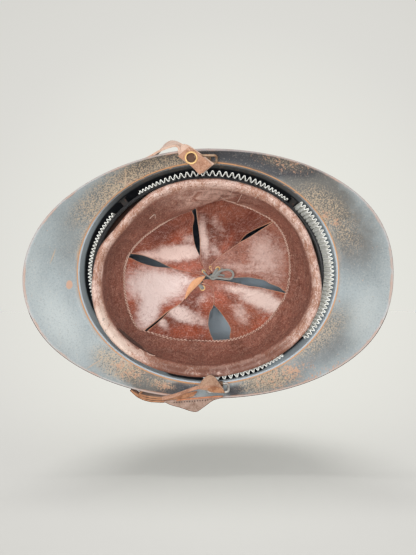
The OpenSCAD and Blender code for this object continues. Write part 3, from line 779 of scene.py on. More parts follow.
def strand(name, points, width, thick, around=10, along=60):
    """A flat or round band swept along points, closed at both ends."""
    line = evenly([Vector(p) for p in points], along)
    rounded_share = 0.02

    def place(u, v):
        x = v * along
        i = min(along - 1, int(x))
        p = line[i].lerp(line[i + 1], x - i)
        way = (line[min(along, i + 2)] - line[max(0, i - 1)]).normalized()
        side = way.cross(PLUMB).normalized()
        up = side.cross(way)
        full = min(ease(0, rounded_share, v), ease(0, rounded_share, 1 - v)) ** 0.5
        c, s = power(cos_d(360 * u), 0.6), power(sin_d(360 * u), 0.6)
        return p + (side * width / 2 * c + up * thick / 2 * s) * full
    band = shaped_grid(name, around, along, place, closed_across=True)
    smooth(band, 50)
    return band


def ball(name, size):
    """A small rounded lump to copy from."""
    deselect()
    bpy.ops.mesh.primitive_uv_sphere_add(segments=8, ring_count=6, radius=0.5 * MM)
    lump = bpy.context.object
    lump.name = lump.data.name = name
    edit(lump, lambda: bpy.ops.transform.resize(value=size))
    smooth(lump, 60)
    return lump


def copies(name, model, frames):
    """The model copied to each frame (a place in millimetres, a direction along and one up)."""
    made = []
    for place, along, up in frames:
        along = along.normalized()
        across = up.cross(along).normalized()
        up = along.cross(across)
        copy = model.copy()
        copy.data = model.data.copy()
        bpy.context.collection.objects.link(copy)
        copy.data.transform(Matrix.Translation(place * MM)
                            @ Matrix((along, across, up)).transposed().to_4x4())
        made.append(copy)
    bpy.data.objects.remove(model, do_unlink=True)
    return joined(name, *made)


def band_face(a, v):
    """A place on the sweatband's inner face and the direction off it, for stitches."""
    p, face = band_section(a, v)
    inner = -face if face.x * p.x + face.y * p.y > 0 else face
    return p + inner * LEATHER_T * 0.45, inner


def make_seam_stitches():
    """Two rows of stitches round the seam, a few missing where the thread has gone."""
    frames = []
    count = 150
    for v, shift in ((0.996, 0.0), (0.958, 0.4)):
        for i in range(count):
            a = 360 * (i + shift) / count
            if ripple(a, v * 400, 1.0, 6) > 0.62:
                continue
            p, up = band_face(a, v)
            along = (band_face(a + 0.5, v)[0] - p).normalized()
            frames.append((p + up * 0.2, along + up.cross(along) * 0.3, up))
    return copies("seam_stitches", ball("stitch", (2.5, 0.95, 0.8)), frames)


def make_back_seam():
    """The stitches of the band's seam at the back of the head, and a short row beside them."""
    frames = []
    for i in range(12):
        v = 0.944 - 0.03043 * i
        p, up = band_face(13, v)
        frames.append((p + up * 0.15, band_face(13, v - 0.01)[0] - p, up))
    for i in range(8):
        v = 0.944 - 0.016 * i
        p, up = band_face(29, v)
        frames.append((p + up * 0.1, band_face(29, v - 0.008)[0] - p, up))
    return copies("back_stitches", ball("stitch", (1.9, 0.6, 0.5)), frames)


def on_band(px, py):
    """The place on the sweatband that the camera sees at a pixel of the picture."""
    heading = math.degrees(math.atan2(278 - py, px - 208))
    found, least = None, 1e9
    for a in (heading - 4, heading - 2, heading, heading + 2, heading + 4):
        for k in range(36):
            p, inner = band_face(a, 0.38 + 0.017 * k)
            off = (seen(px, py, p.z) - p).length
            if off < least:
                found, least = p + inner * 0.7 - PLUMB * 0.5, off
    return found


# Loose ends of thread on the band, as pixels of the picture
THREADS = (((230, 196.5), (231, 193), (232.8, 188.8)), ((237.6, 202.2), (240, 196), (243.4, 188.8)),
           ((256, 198), (258, 196), (260.6, 194.6)), ((240, 191), (242.6, 188.6), (246, 187.6)),
           ((222, 197), (228, 200), (236, 202.4)), ((139, 357), (143, 352.6), (147.4, 355.6), (144.6, 360)),
           ((148, 352), (152, 356.5), (158, 358)), ((110, 238), (113, 233), (114, 228)),
           ((106, 232), (110, 229), (116, 228)), ((150, 218), (153, 215), (155.4, 217)))


def make_loose_threads():
    return joined("loose_threads", *(
        strand("loose_thread", [on_band(*p) for p in path], 0.55, 0.45, around=6, along=24)
        for path in THREADS))


def make_eyelet(name, place, up, outer, hole, grip):
    """A turned brass ring with a lip on each face."""
    rings = [(hole, -grip), (outer - 0.35, -grip - 0.1), (outer, -grip + 0.25), (outer - 0.1, -grip + 0.5),
             (hole + 0.55, -grip + 0.45), (hole + 0.5, grip - 0.45), (outer - 0.2, grip - 0.4),
             (outer - 0.3, grip), (hole, grip), (hole - 0.12, grip - 0.3), (hole - 0.12, 0.3 - grip)]
    side = up.orthogonal().normalized()
    cross = up.cross(side)

    def at(u, v):
        k = round(v * len(rings)) % len(rings)
        r, h = rings[k]
        return place + (side * cos_d(360 * u) + cross * sin_d(360 * u)) * r + up * h * 0.5
    ring = shaped_grid(name, 32, len(rings), at, closed_across=True, closed_along=True)
    face_outwards(ring)
    smooth(ring, 40)
    return ring


def edge_points(stations):
    """Places in millimetres from (pixel x, pixel y, height) stations."""
    return [seen(*station) for station in stations]


def ribbon(name, lower, upper, thickness, along, seed=0.0):
    """A leather strap between its two edges, with a slightly wavy face."""
    low, high = evenly(lower, along), evenly(upper, along)

    def place(u, v):
        k = round(v * along)
        p, q = low[k], high[k]
        ahead, back = min(along, k + 1), max(0, k - 1)
        face = (low[ahead] + high[ahead] - low[back] - high[back]).cross(q - p).normalized()
        wave = 0.22 * ripple(p.x + 3 * u, p.y, 5 * u + seed, 9) + 0.1 * ripple(p.x, p.y, 9 * u, 3)
        return p.lerp(q, u) + face * wave
    strap = shaped_grid(name, 8, along, place)
    thicken(strap, thickness)
    round_edges(strap, 0.3)
    smooth(strap, 50)
    return strap


def cut_piece(name, outline, thickness, hole=None, seed=0.0):
    """Leather cut to an outline of (pixel x, pixel y, height), closed or with a hole (centre, radius)."""
    count = 96
    rim = evenly(edge_points(outline + outline[:1]), count)
    middle = sum(rim[:-1], Vector()) / count

    def place(u, v):
        k = round(u * count)
        if hole:
            centre, radius = hole
            way = rim[k] - centre
            inner = centre + Vector((way.x, way.y, 0)).normalized() * radius
            inner.z = middle.z
        else:
            inner = middle
        p = rim[k].lerp(inner, v)
        p.z += 0.28 * ripple(p.x, p.y, seed, 7) + 0.12 * ripple(p.x, p.y, seed + 5, 2.5)
        return p
    piece = shaped_grid(name, count, 16, place, closed_across=True)
    face_outwards(piece)
    thicken(piece, thickness)
    round_edges(piece, 0.28)
    smooth(piece, 50)
    return piece


# Stage, lamps and world
def backdrop():
    """An upright sheet across the picture, below the helmet there. It only takes the shadow, and
    can't be seen from behind."""
    deselect()
    bpy.ops.mesh.primitive_plane_add(size=3.0)
    sheet = bpy.context.object
    sheet.name = "backdrop"
    sheet.data.transform(Matrix.Rotation(math.radians(90), 4, "Y"))
    sheet.data.transform(Matrix.Translation((-0.168, 0, 0.1)))
    sheet.is_shadow_catcher = True
    paper = Finish("backdrop_paper", Base_Color=colour(232, 232, 224), Roughness=0.9)
    behind = Flow(paper.tree, paper.tree.nodes.new("ShaderNodeNewGeometry").outputs["Backfacing"])
    paper.set("Alpha", 1 - behind)
    wear(sheet, paper)
    return sheet


def lamp(name, place, aim, power_w, size, size_y=None, misses=None, only=None):
    """A soft lamp. It may pass by the piece that it misses, or light only one piece, which then is
    all that can shade it."""
    data = bpy.data.lights.new(name, "AREA")
    data.energy = power_w
    data.size = size
    if size_y:
        data.shape = "RECTANGLE"
        data.size_y = size_y
    lit = bpy.data.objects.new(name, data)
    bpy.context.collection.objects.link(lit)
    lit.location = place
    lit.rotation_mode = "QUATERNION"
    lit.rotation_quaternion = (Vector(aim) - Vector(place)).to_track_quat("-Z", "Y")
    if misses or only:
        linked = bpy.data.collections.new(name + "_lights")
        lit.light_linking.receiver_collection = lit.light_linking.blocker_collection = linked
        linked.objects.link(misses or only)
        linked.collection_objects[0].light_linking.link_state = "EXCLUDE" if misses else "INCLUDE"


def world_light(fill):
    """A pale backdrop for the camera, and an even light for the helmet."""
    world = bpy.data.worlds.new("studio")
    bpy.context.scene.world = world
    world.use_nodes = True
    tree = world.node_tree
    shown = tree.nodes["Background"]
    way = Flow(tree, tree.nodes.new("ShaderNodeTexCoord").outputs["Generated"])
    off = way.node("ShaderNodeVectorMath", {"operation": "DOT_PRODUCT"}, out=1, s0=way,
                   s1=(LOOK - UP * 0.01 + RIGHT * 0.02).normalized())
    # The backdrop is painted darker away from the camera's line of sight: painted shade
    paper = off.node("ShaderNodeValToRGB", {"stops": [
        (0.0, colour(211, 211, 205)), (0.90, colour(212, 211, 206)),
        (0.955, colour(220, 219, 214)), (1.0, colour(235, 235, 227))]}, s0=off)
    tree.links.new(paper.socket, shown.inputs["Color"])
    filled = tree.nodes.new("ShaderNodeBackground")
    filled.inputs["Color"].default_value = (0.98, 0.99, 1, 1)
    filled.inputs["Strength"].default_value = fill
    rays = tree.nodes.new("ShaderNodeLightPath")
    plain_view = Flow(tree, rays.outputs["Is Camera Ray"]).maths(
        "MAXIMUM", Flow(tree, rays.outputs["Is Transmission Ray"]))
    both = tree.nodes.new("ShaderNodeMixShader")
    tree.links.new(plain_view.socket, both.inputs[0])
    tree.links.new(filled.outputs[0], both.inputs[1])
    tree.links.new(shown.outputs[0], both.inputs[2])
    tree.links.new(both.outputs[0], tree.nodes["World Output"].inputs["Surface"])


shadow_sheet = backdrop()
world_light(0.36)
HELMET_MIDDLE = (0, 0, 0.04)
lamp("main", (0.10, -0.48, -1.55), HELMET_MIDDLE, 9, 0.36, misses=shadow_sheet)
lamp("front", (0.06, 0.0, -1.7), HELMET_MIDDLE, 8, 0.4, misses=shadow_sheet)
lamp("key", (0.7, 0.35, -1.2), HELMET_MIDDLE, 2.8, 0.5, 0.9, misses=shadow_sheet)
lamp("under", (-0.62, -0.1, -1.1), (0, 0, 0.05), 1.5, 0.5, misses=shadow_sheet)
lamp("overhead", (1.5, -0.16, 0.22), (-0.1, 0, 0.08), 4.6, 0.8)
bpy.context.scene.view_settings.view_transform = "Standard"


def across_fill(name, a, reach, low, power_w, piece):
    """A lamp for one piece that shines under the brim at its inner side, from across the helmet."""
    place = (-reach * sin_d(a), -reach * cos_d(a), -low)
    lamp(name, place, HELMET_MIDDLE, power_w, 0.4, only=piece)


# Finishes
def worn_paint(name, tint, shade, specks=1.0):
    """Horizon-blue paint, with a fine tooth, clouds and scattered rust specks."""
    f = Finish(name, Specular_IOR_Level=0.35)
    p = f.place
    base = f.plain(*tint).mix(p.noise(11, 3).step(0.36, 0.66), shade)
    tooth = p.noise(850, 3, 0.75)
    base = base.mix(tooth.step(0.48, 0.72) * 0.35, (206, 208, 203))
    base = base.mix(p.noise(420, 4, 0.7).step(0.66, 0.7) * (0.8 * specks), (214, 208, 196))
    rust = p.noise(160, 6, 0.75, 0.3).step(0.64, 0.68) * p.noise(30, 3).step(0.45, 0.6) * specks
    base = base.mix(rust, (190, 140, 108))
    f.set("Roughness", 0.45 + 0.2 * tooth)
    f.relief(tooth * 0.6 - rust * 0.5, 0.1, 0.5)
    return f, base


def brim_paint():
    """The brim's paint: dirt, dark clouds partly of painted shade, pale clouds of painted highlight,
    speckle, rust, chips, scratches, a hem rubbed pale and partly painted highlight, and a rusty inner edge."""
    f, base = worn_paint("brim_paint", (174, 184, 187), (152, 161, 164))
    p = f.place
    inner, hem = f.flow.part("X") * 1000, f.flow.part("Y") * 1000
    brim_z, mm_per_px = 12, 0.82

    def spot(px, py, long, wide, turn, strength, soft=0.1):
        """A soft oval on the brim, given in the picture's pixels and in degrees up from the right."""
        middle = seen(px, py, brim_z)
        return p.oval(middle.x, middle.y, long * mm_per_px, wide * mm_per_px, turn, soft) * strength

    def spots(*ovals):
        return most(*(spot(*oval) for oval in ovals))
    cloud = 0.7 + 0.6 * p.noise(40, 5, 0.72).step(0.35, 0.65)
    fine_cloud = 0.75 + 0.5 * p.noise(95, 5, 0.75).step(0.35, 0.65)
    # Warm grey dirt, then brown dirt, dark clouds of dirt and painted shade, cool grey clouds, and pale
    # patches of painted highlight
    warm = spots((316, 190, 74, 32, -42, 1.2, 0.3), (352, 234, 56, 36, -75, 0.85),
                 (330, 340, 70, 34, 40, 0.5), (270, 380, 50, 20, 14, 0.8),
                 (146, 381, 38, 16, -22, 1.25, 0.35), (72, 246, 40, 26, 75, 0.3))
    base = base.mix((warm * fine_cloud).maths("MINIMUM", 0.9), (108, 105, 100))
    brown = spots((164, 165, 66, 18, 18, 1.4, 0.35), (112, 190, 56, 24, 36, 0.4))
    base = base.mix((brown * fine_cloud).maths("MINIMUM", 0.9), (82, 72, 66))
    # Dark clouds: partly dirt and partly painted shade, where the brim's top faces away from the light
    dark = spots((258, 161, 90, 19, -8, 1.3, 0.4), (214, 152, 70, 12, 2, 1.2, 0.3),
                 (180, 388, 38, 9, 14, 0.95, 0.3), (236, 392, 16, 8, 8, 0.9, 0.3),
                 (104, 200, 60, 24, 40, 0.3))
    base = base.mix((dark * cloud).maths("MINIMUM", 0.97), (68, 68, 73))
    grey = spots((352, 250, 40, 26, 85, 0.3), (318, 356, 60, 16, 34, 0.35),
                 (72, 290, 30, 16, 85, 0.15))
    base = base.mix(grey * fine_cloud, (106, 112, 118))
    # Pale patches: painted highlight where the brim's underside catches the light, and at its outer parts
    pale = spots((60, 322, 62, 24, -60, 0.6), (364, 316, 44, 24, 72, 0.5),
                 (34, 276, 50, 14, 90, 0.3), (386, 276, 40, 12, 90, 0.2),
                 (100, 352, 40, 18, -38, 0.3))
    base = base.mix(pale, (212, 219, 218))
    # Fine tooth all over, and dense tan speckle in patches
    tooth = p.noise(760, 4, 0.8)
    base = base.mix((1 - tooth.step(0.34, 0.5)) * 0.3, (96, 100, 102))
    base = base.mix(tooth.step(0.54, 0.66) * 0.3, (214, 206, 194))
    zones = spots((120, 190, 84, 28, 34, 1.1), (160, 166, 60, 17, 16, 0.8),
                  (96, 240, 44, 28, 66, 0.8), (118, 365, 42, 21, -28, 1.1),
                  (160, 385, 26, 9, -14, 0.6), (270, 380, 46, 17, 14, 1.2),
                  (324, 208, 50, 26, -40, 0.8), (318, 335, 60, 26, 42, 0.6),
                  (288, 162, 50, 12, -14, 0.4), (342, 228, 50, 26, -60, 0.5))
    grit = p.noise(900, 2, 0.65, 0.5)
    speckle = (grit + zones * 0.08).step(0.54, 0.63) * zones.step(0.0, 0.6)
    base = base.mix((zones * fine_cloud * 0.4).maths("MINIMUM", 0.5), (140, 132, 118))
    base = base.mix(speckle * 0.75, (204, 180, 152))
    base = base.mix(zones.step(0.0, 0.6) * (1 - grit.step(0.38, 0.47)) * 0.6, (86, 82, 78))
    # Flakes of rust, small and broken
    rusty_zones = spots((284, 376, 42, 14, 16, 1.0), (128, 372, 30, 13, -28, 0.75),
                        (162, 387, 20, 7, -14, 0.7), (286, 164, 60, 13, -16, 0.3),
                        (330, 216, 26, 12, -40, 0.35), (140, 178, 60, 22, 26, 0.2),
                        (320, 374, 44, 7, 34, 0.4))
    flakes = p.noise(430, 4, 0.75, 0.5) * 0.65 + p.noise(130, 3, 0.7) * 0.35
    rust = (flakes + rusty_zones * 0.075).step(0.565, 0.59) * rusty_zones.step(0.02, 0.3)
    base = base.mix(rust * 0.8, (204, 160, 132))
    few = p.moved(1, 2, 3).noise(300, 4, 0.75, 0.3).step(0.68, 0.7)
    base = base.mix(few * 0.9, (206, 170, 142))
    # A chip and a few scratches
    chip = (p.oval(-9, -115, 6.4, 4.4, 80, 0.0) + 0.7 * (p.noise(160, 4) - 0.5)).step(0.32, 0.42)
    base = base.mix(chip, (206, 168, 146))
    for x, y, long, turn in ((15, -127, 9, 70), (16, -108, 6, 80), (-22, 92, 13, 48), (60, 130, 7, -30),
                              (78, -68, 16, 86), (-74, -94, 10, 30)):
        scratch = p.oval(x, y, long, 0.7, turn, 0.3)
        base = base.mix(scratch * 0.75, (204, 176, 148))
    # The hem is painted pale, partly rubbed paint and partly painted highlight, with broken rust on it and
    # just inside, and the inner edge is rusty
    ragged = p.noise(120, 5, 0.7) * 2.4
    rubbed = (1 - (hem + ragged).step(1.2, 2.2)) * 0.7
    base = base.mix(rubbed * p.noise(45, 4).step(0.42, 0.6), (196, 146, 116))
    # The pale hem: rubbed paint and a painted highlight on the roll
    base = base.mix(1 - hem.step(-0.6, 0.5), (206, 192, 188))
    base = base.mix((1 - hem.step(-0.6, 0.2)) * p.noise(240, 5, 0.75).step(0.5, 0.6) * 0.8,
                    (176, 140, 122))
    line = 1 - (inner + p.noise(90, 4) * 0.9).step(1.0, 1.7)
    base = base.mix(line, (228, 164, 112))
    glow = 1 - (inner + p.noise(60, 4) * 6).step(3.0, 7.0)
    base = base.mix(glow * 0.3, (190, 156, 126))
    f.set("Base Color", base)
    return f


def shell_paint():
    """The paint of the outside, the comb and the rivets."""
    f, base = worn_paint("shell_paint", (150, 162, 168), (134, 146, 152))
    f.set("Base Color", base)
    return f


def inner_paint():
    """The paint inside the dome, paler than outside as painted light: painted shade behind the liner, pale
    blue at the foot as painted light, dirty at the wearer's left, and under the crown pale, with painted
    shade behind the narrow slits and a painted pool of light behind the widest one."""
    # Much paler than the outer paint: painted light for the wall and for the crown seen through the slits
    f, base = worn_paint("inner_paint", (190, 206, 218), (170, 186, 198), 0.6)
    p = f.place
    rust = p.noise(70, 6, 0.75, 0.5).step(0.64, 0.68) * 0.6
    base = base.mix(rust, (198, 150, 116))
    base = base.mix(p.noise(260, 4, 0.7).step(0.66, 0.7) * 0.7, (228, 234, 236))
    height = p.part("Z")
    # Painted shade: dark paint behind the strips and the liner, above the foot
    base = base.mix(1 - height.step(0.07, 0.1), (30, 32, 36))
    dirty = p.part("X").step(0.03, 0.075)
    blue = f.plain(194, 204, 210).mix(dirty * 0.9, (96, 94, 92))
    blue = blue.mix(p.noise(210, 5, 0.75, 0.4).step(0.56, 0.64) * dirty * 0.8, (200, 156, 118))
    # The foot is left pale as painted light. It ends lower at the bottom, where the paint above is painted
    # shade behind the strip
    foot = 1 - (height + p.noise(60, 3) * 0.006 + p.near(-91, 8, 30, 75).step(0.2, 0.5) * 0.016
                ).step(0.045, 0.052)
    base = base.mix(foot, blue)
    # Painted shade on the crown's inside, where it is seen through the narrow slits
    painted_slit_shade = most(p.oval(36, -11, 36, 11, 85, 0.4), p.oval(35, 44, 30, 10, 27, 0.4),
                 p.oval(-44, -41, 34, 10, 39, 0.4), p.oval(-15, 53, 38, 13, -17, 0.4) * 0.25,
                 p.oval(8, -56, 34, 12, -18, 0.4) * 0.5)
    base = base.mix(painted_slit_shade * 0.97, (44, 52, 62))
    # A painted pool of light behind the widest slit
    base = base.mix(p.oval(-52, 12, 34, 22, 0, 0.3) * 0.6, (226, 238, 246))
    f.set("Base Color", base)
    return f


paint_finish = shell_paint()
inner_finish = inner_paint()
brim_finish = brim_paint()


def leather(name, base, deep, pale, painted_sheen_ovals=(), deep_ovals=(), rough=0.3, grain_run=(12, 1.8),
            fibre_run=(38, 5), cut_edge=None):
    """Polished hide: mottled, with painted sheen in pale ovals, and streaks, fibres, creases and pores.

    Colours are screen colours. A deep oval ends in its own colour."""
    f = Finish(name, Specular_IOR_Level=0.45)
    p = f.place
    loose = p.warped(45, 4.0)
    mottled = f.plain(*base).mix(p.noise(30, 6, 0.72, 0.6).step(0.36, 0.68), deep)
    for oval in deep_ovals:
        cloudy = leather_oval(loose, oval) * (0.55 + 0.9 * p.noise(60, 5, 0.7).step(0.3, 0.7))
        mottled = mottled.mix(cloudy.maths("MINIMUM", 0.85), oval[6])
    streaks = f.flow.stretched(*grain_run, 1).noise(1.0, 6, 0.7, 1.2)
    fibres = f.flow.stretched(*fibre_run, 1).noise(1.0, 2, 0.6, 3.0)
    strokes = p.stretched(1, 0.3, 1).noise(430, 2, 0.6, 1.6)
    grain = p.noise(360, 2, 0.6, 1.4)
    pores = p.noise(640, 4, 0.8)
    creases = p.lines(46, 0.016, 2.4) * p.noise(26, 3).step(0.42, 0.6)
    mottled = mottled.mix(fibres.step(0.54, 0.68) * 0.2, pale)
    mottled = mottled.mix((1 - fibres.step(0.34, 0.48)) * 0.5, (96, 40, 26))
    mottled = mottled.mix(strokes.step(0.55, 0.68) * 0.2, pale)
    mottled = mottled.mix((1 - grain.step(0.34, 0.5)) * 0.5, (100, 42, 28))
    mottled = mottled.mix(grain.step(0.58, 0.7) * 0.14, pale)
    veins = p.lines(70, 0.02, 1.6) * p.noise(40, 3).step(0.4, 0.6)
    marble = p.stretched(1, 0.6, 1).noise(62, 6, 0.68, 2.6)
    # Pale ovals of painted sheen, broken by streaks and marbling
    for oval in painted_sheen_ovals:
        broken = leather_oval(loose, oval) + ((streaks - 0.5) * 0.4 + (marble - 0.5) * 0.9
                                              + (strokes - 0.5) * 0.3 + (grain - 0.5) * 0.3)
        painted_sheen = broken.step(0.06, 1.04) * 0.96 * (1 - veins * 0.5)
        mottled = mottled.mix(painted_sheen, pale)
    mottled = mottled.mix(creases * 0.35, pale)
    mottled = mottled.mix(pores.step(0.58, 0.68) * 0.2, (120, 68, 56))
    if cut_edge:
        across = f.flow.part("X")
        cut = most(1 - across.step(0.008, 0.018), across.step(0.982, 0.992))
        mottled = mottled.mix(cut * 0.6, cut_edge)
    f.set("Base Color", mottled)
    f.set("Roughness", rough + 0.3 * strokes.step(0.45, 0.7))
    f.relief(grain * 0.3 + fibres * 0.4 + strokes * 0.3 + creases * 0.4 + marble * 1.4 + streaks * 0.5
             + p.cracks(900).step(0.0, 0.2) * 0.15, 0.5, 0.8)
    return f


def leather_oval(p, oval):
    """A mask on the crown's leather, from an oval in the picture's pixels."""
    px, py, long, wide, turn, amount = oval[:6]
    centre = on_crown(px, py)
    mm_per_px = (centre.z + 700) / FOCAL_PX
    return p.oval(centre.x, centre.y, long * mm_per_px, wide * mm_per_px, turn, 0.0) * amount


# Each leaf: its colour, its deep colour, its pale colour for grain, creases and painted sheen, then its ovals
# of painted sheen and its deep ovals as pixels of the picture: middle, half length, half width, degrees up
# from the right, strength, and a deep one's colour
RED, DEEP_RED = (184, 92, 62), (118, 58, 44)
TONGUE_COLOURS = {
    "a": ((170, 94, 68), (128, 62, 44), (252, 226, 216),
          ((178, 253, 44, 14, 6, 1.35), (190, 240, 16, 10, -24, 0.55), (148, 255, 20, 8, -6, 0.85)),
          ((160, 232, 38, 16, 30, 1.0, DEEP_RED), (184, 268, 32, 9, 14, 1.2, RED),
           (178, 238, 22, 8, 34, 0.9, RED), (146, 256, 20, 7, 8, 0.8, RED))),
    "b": ((158, 92, 70), (112, 58, 42), (238, 212, 202),
          ((203, 238, 38, 9, -85, 1.0), (216, 224, 20, 10, -50, 0.45), (216, 252, 20, 8, -50, 0.55)),
          ((240, 228, 38, 22, 40, 1.0, DEEP_RED), (226, 246, 22, 8, 60, 0.6, RED))),
    "c": ((182, 122, 102), (148, 90, 70), (230, 202, 192),
          ((264, 255, 52, 28, -66, 0.75), (238, 267, 34, 11, -10, 0.5), (262, 271, 32, 15, -30, 0.45)),
          ((262, 230, 28, 12, -40, 0.6, (142, 82, 64)),)),
    "d": ((176, 102, 76), (136, 70, 50), (252, 230, 220),
          ((262, 300, 44, 18, -22, 1.15), (240, 313, 24, 13, -50, 0.6), (240, 290, 34, 8, -8, 0.75)),
          ((266, 322, 34, 10, 40, 1.0, RED), (220, 298, 20, 10, -60, 0.9, RED))),
    "e": ((164, 90, 66), (124, 60, 42), (254, 234, 226),
          ((178, 312, 30, 12, -26, 1.3), (200, 319, 26, 10, -30, 0.7), (203, 298, 16, 8, 30, 0.5),
           (162, 322, 18, 7, -48, 0.8)),
          ((186, 331, 36, 9, 0, 1.1, RED), (206, 304, 18, 10, 70, 0.8, RED))),
    "f": ((186, 104, 76), (150, 76, 54), (250, 232, 226),
          ((158, 285, 52, 31, -10, 1.25), (150, 308, 37, 19, 76, 1.2), (184, 280, 24, 10, -10, 0.7)),
          ((129, 286, 44, 9, 82, 1.3, RED), (150, 262, 32, 8, -12, 0.9, RED),
           (178, 302, 30, 9, 40, 1.1, RED)))}
tongue_finishes = {key: leather("leather_" + key, *parts, cut_edge=(216, 164, 134))
                   for key, parts in TONGUE_COLOURS.items()}


def band_leather():
    """The sweatband: brown inside, streaked by wear, with a painted highlight on its sagging top, rubbed pale
    in patches along its rim, and painted shade on the flap behind the rim.
    """
    f = leather("band_leather", (166, 106, 88), (128, 76, 60), (226, 190, 174), rough=0.42,
                grain_run=(200, 10), fibre_run=(260, 20))
    p = f.place
    section = f.flow.part("Y")
    base = Flow(f.tree, f.shader.inputs["Base Color"].links[0].from_socket)
    stripes = f.flow.stretched(300, 8, 1).noise(1.0, 5, 0.7, 1.6)
    base = base.mix(stripes.step(0.5, 0.75) * 0.4, (206, 164, 146))
    base = base.mix((1 - stripes.step(0.3, 0.46)) * 0.45, (104, 58, 46))
    # A painted highlight along the band's sagging top, broken by noise
    base = base.mix(p.oval(66, 0, 70, 20, 0, 0.1) * p.noise(70, 7, 0.8, 1.0).step(0.38, 0.6) * 0.85,
                    (238, 200, 184))
    hairs = p.stretched(0.4, 1, 0.6).noise(420, 3, 0.7, 2.5)
    base = base.mix(hairs.step(0.55, 0.64) * 0.5, (216, 170, 148))
    base = base.mix((1 - hairs.step(0.36, 0.46)) * 0.6, (92, 44, 32))
    # The rolled rim is tan, rubbed pale in broken patches, and red-brown along its outer edge
    torn = p.noise(80, 6, 0.78, 0.8)
    ragged = section + (torn - 0.5) * 0.12
    rim = ragged.step(0.3, 0.34) * (1 - ragged.step(0.53, 0.62))
    grit = p.noise(330, 6, 0.8, 0.5)
    base = base.mix(rim * 0.85, (192, 142, 118))
    patches = p.noise(46, 7, 0.8, 0.8).step(0.46, 0.56)
    base = base.mix(rim * patches * (0.5 + grit.step(0.35, 0.55) * 0.45), (238, 204, 190))
    base = base.mix(rim * grit.step(0.54, 0.6) * 0.75, (146, 90, 70))
    base = base.mix(rim * hairs.step(0.54, 0.62) * 0.7, (248, 230, 220))
    base = base.mix(rim * (1 - hairs.step(0.36, 0.44)) * 0.6, (140, 86, 66))
    scuffs = f.flow.stretched(26, 70, 1).noise(1.0, 5, 0.75, 1.2)
    base = base.mix(rim * (1 - scuffs.step(0.38, 0.48)) * 0.75, (160, 104, 84))
    base = base.mix(rim * scuffs.step(0.56, 0.64) * 0.7, (244, 222, 212))
    low_side = p.near(-84, 12, 20, 95).step(0.1, 0.5)
    base = base.mix(rim * low_side * torn.step(0.32, 0.5) * 0.85, (116, 68, 52))
    creamy = p.near(-52, -84, 20, 50).step(0.1, 0.7)
    base = base.mix(rim * creamy * torn.step(0.4, 0.5) * 0.8, (240, 216, 200))
    base = base.mix(rim * creamy * grit.step(0.56, 0.62) * 0.7, (150, 134, 124))
    edge = ragged.step(0.26, 0.31) * (1 - ragged.step(0.35, 0.43))
    base = base.mix(edge * p.noise(60, 4, 0.7).step(0.42, 0.6) * 0.8, (164, 96, 74))
    # The flap behind the rim and the back of the roll are painted dark: painted shade
    base = base.mix((1 - section.step(0.24, 0.3)) * 0.9, (62, 44, 38))
    f.set("Base Color", base)
    return f


band_finish = band_leather()


def plain_metal(name, tint, dark, metallic=0.75, rough=0.45, rust=0.0):
    f = Finish(name, Metallic=metallic)
    p = f.place
    base = f.plain(*tint).mix(p.noise(160, 5, 0.7).step(0.4, 0.7), dark)
    if rust:
        base = base.mix(p.noise(260, 6, 0.75, 0.5).step(0.62 - 0.2 * rust, 0.7), (150, 92, 58))
    f.set("Base Color", base)
    f.set("Roughness", rough + 0.25 * p.noise(300, 4, 0.7))
    f.relief(p.noise(800, 4, 0.7), 0.05, 0.4)
    return f


aluminium = plain_metal("dull_aluminium", (228, 228, 222), (196, 194, 186), 0.12, 0.4)
steel = plain_metal("tarnished_wire", (214, 212, 206), (150, 138, 124), 0.5, 0.38, 0.4)
# The liner tabs are painted near black: painted shade where they sit in the dark gaps
shade_dark_tab = plain_metal("shade_dark_tab", (48, 45, 42), (30, 29, 29), 0.2, 0.6, 0.3)
rusty_wire = plain_metal("rusted_wire", (186, 160, 134), (128, 100, 78), 0.3, 0.5, 0.8)
rusty = plain_metal("rusted_sheet", (140, 120, 100), (90, 76, 64), 0.35, 0.55, 1.0)
brass = plain_metal("tarnished_brass", (226, 188, 128), (176, 134, 84), 0.4, 0.4)


def suede(name, base, dark, pale, shaded_spot=None):
    """The fuzzy flesh side of dry hide, with a dark spot of painted shade at a place if one is named."""
    f = Finish(name, Specular_IOR_Level=0.2, Sheen_Weight=0.25, Sheen_Roughness=0.5)
    p = f.place
    base = f.plain(*base).mix(p.noise(120, 6, 0.75, 0.5).step(0.4, 0.68), dark)
    base = base.mix(p.noise(900, 3, 0.75).step(0.5, 0.7) * 0.55, pale)
    if shaded_spot:
        # The dark spot is painted shade
        base = base.mix(p.near(*shaded_spot, 7).step(0.1, 0.4) * 0.9, (84, 56, 42))
    f.set("Base Color", base)
    f.set("Roughness", 0.7 + 0.2 * p.noise(300))
    f.relief(p.noise(1100, 5, 0.75), 0.3, 0.7)
    return f


strap_finish = suede("dry_strap_leather", (196, 148, 122), (156, 108, 82), (224, 192, 170))
EYELET_PX = (191.2, 157.9)
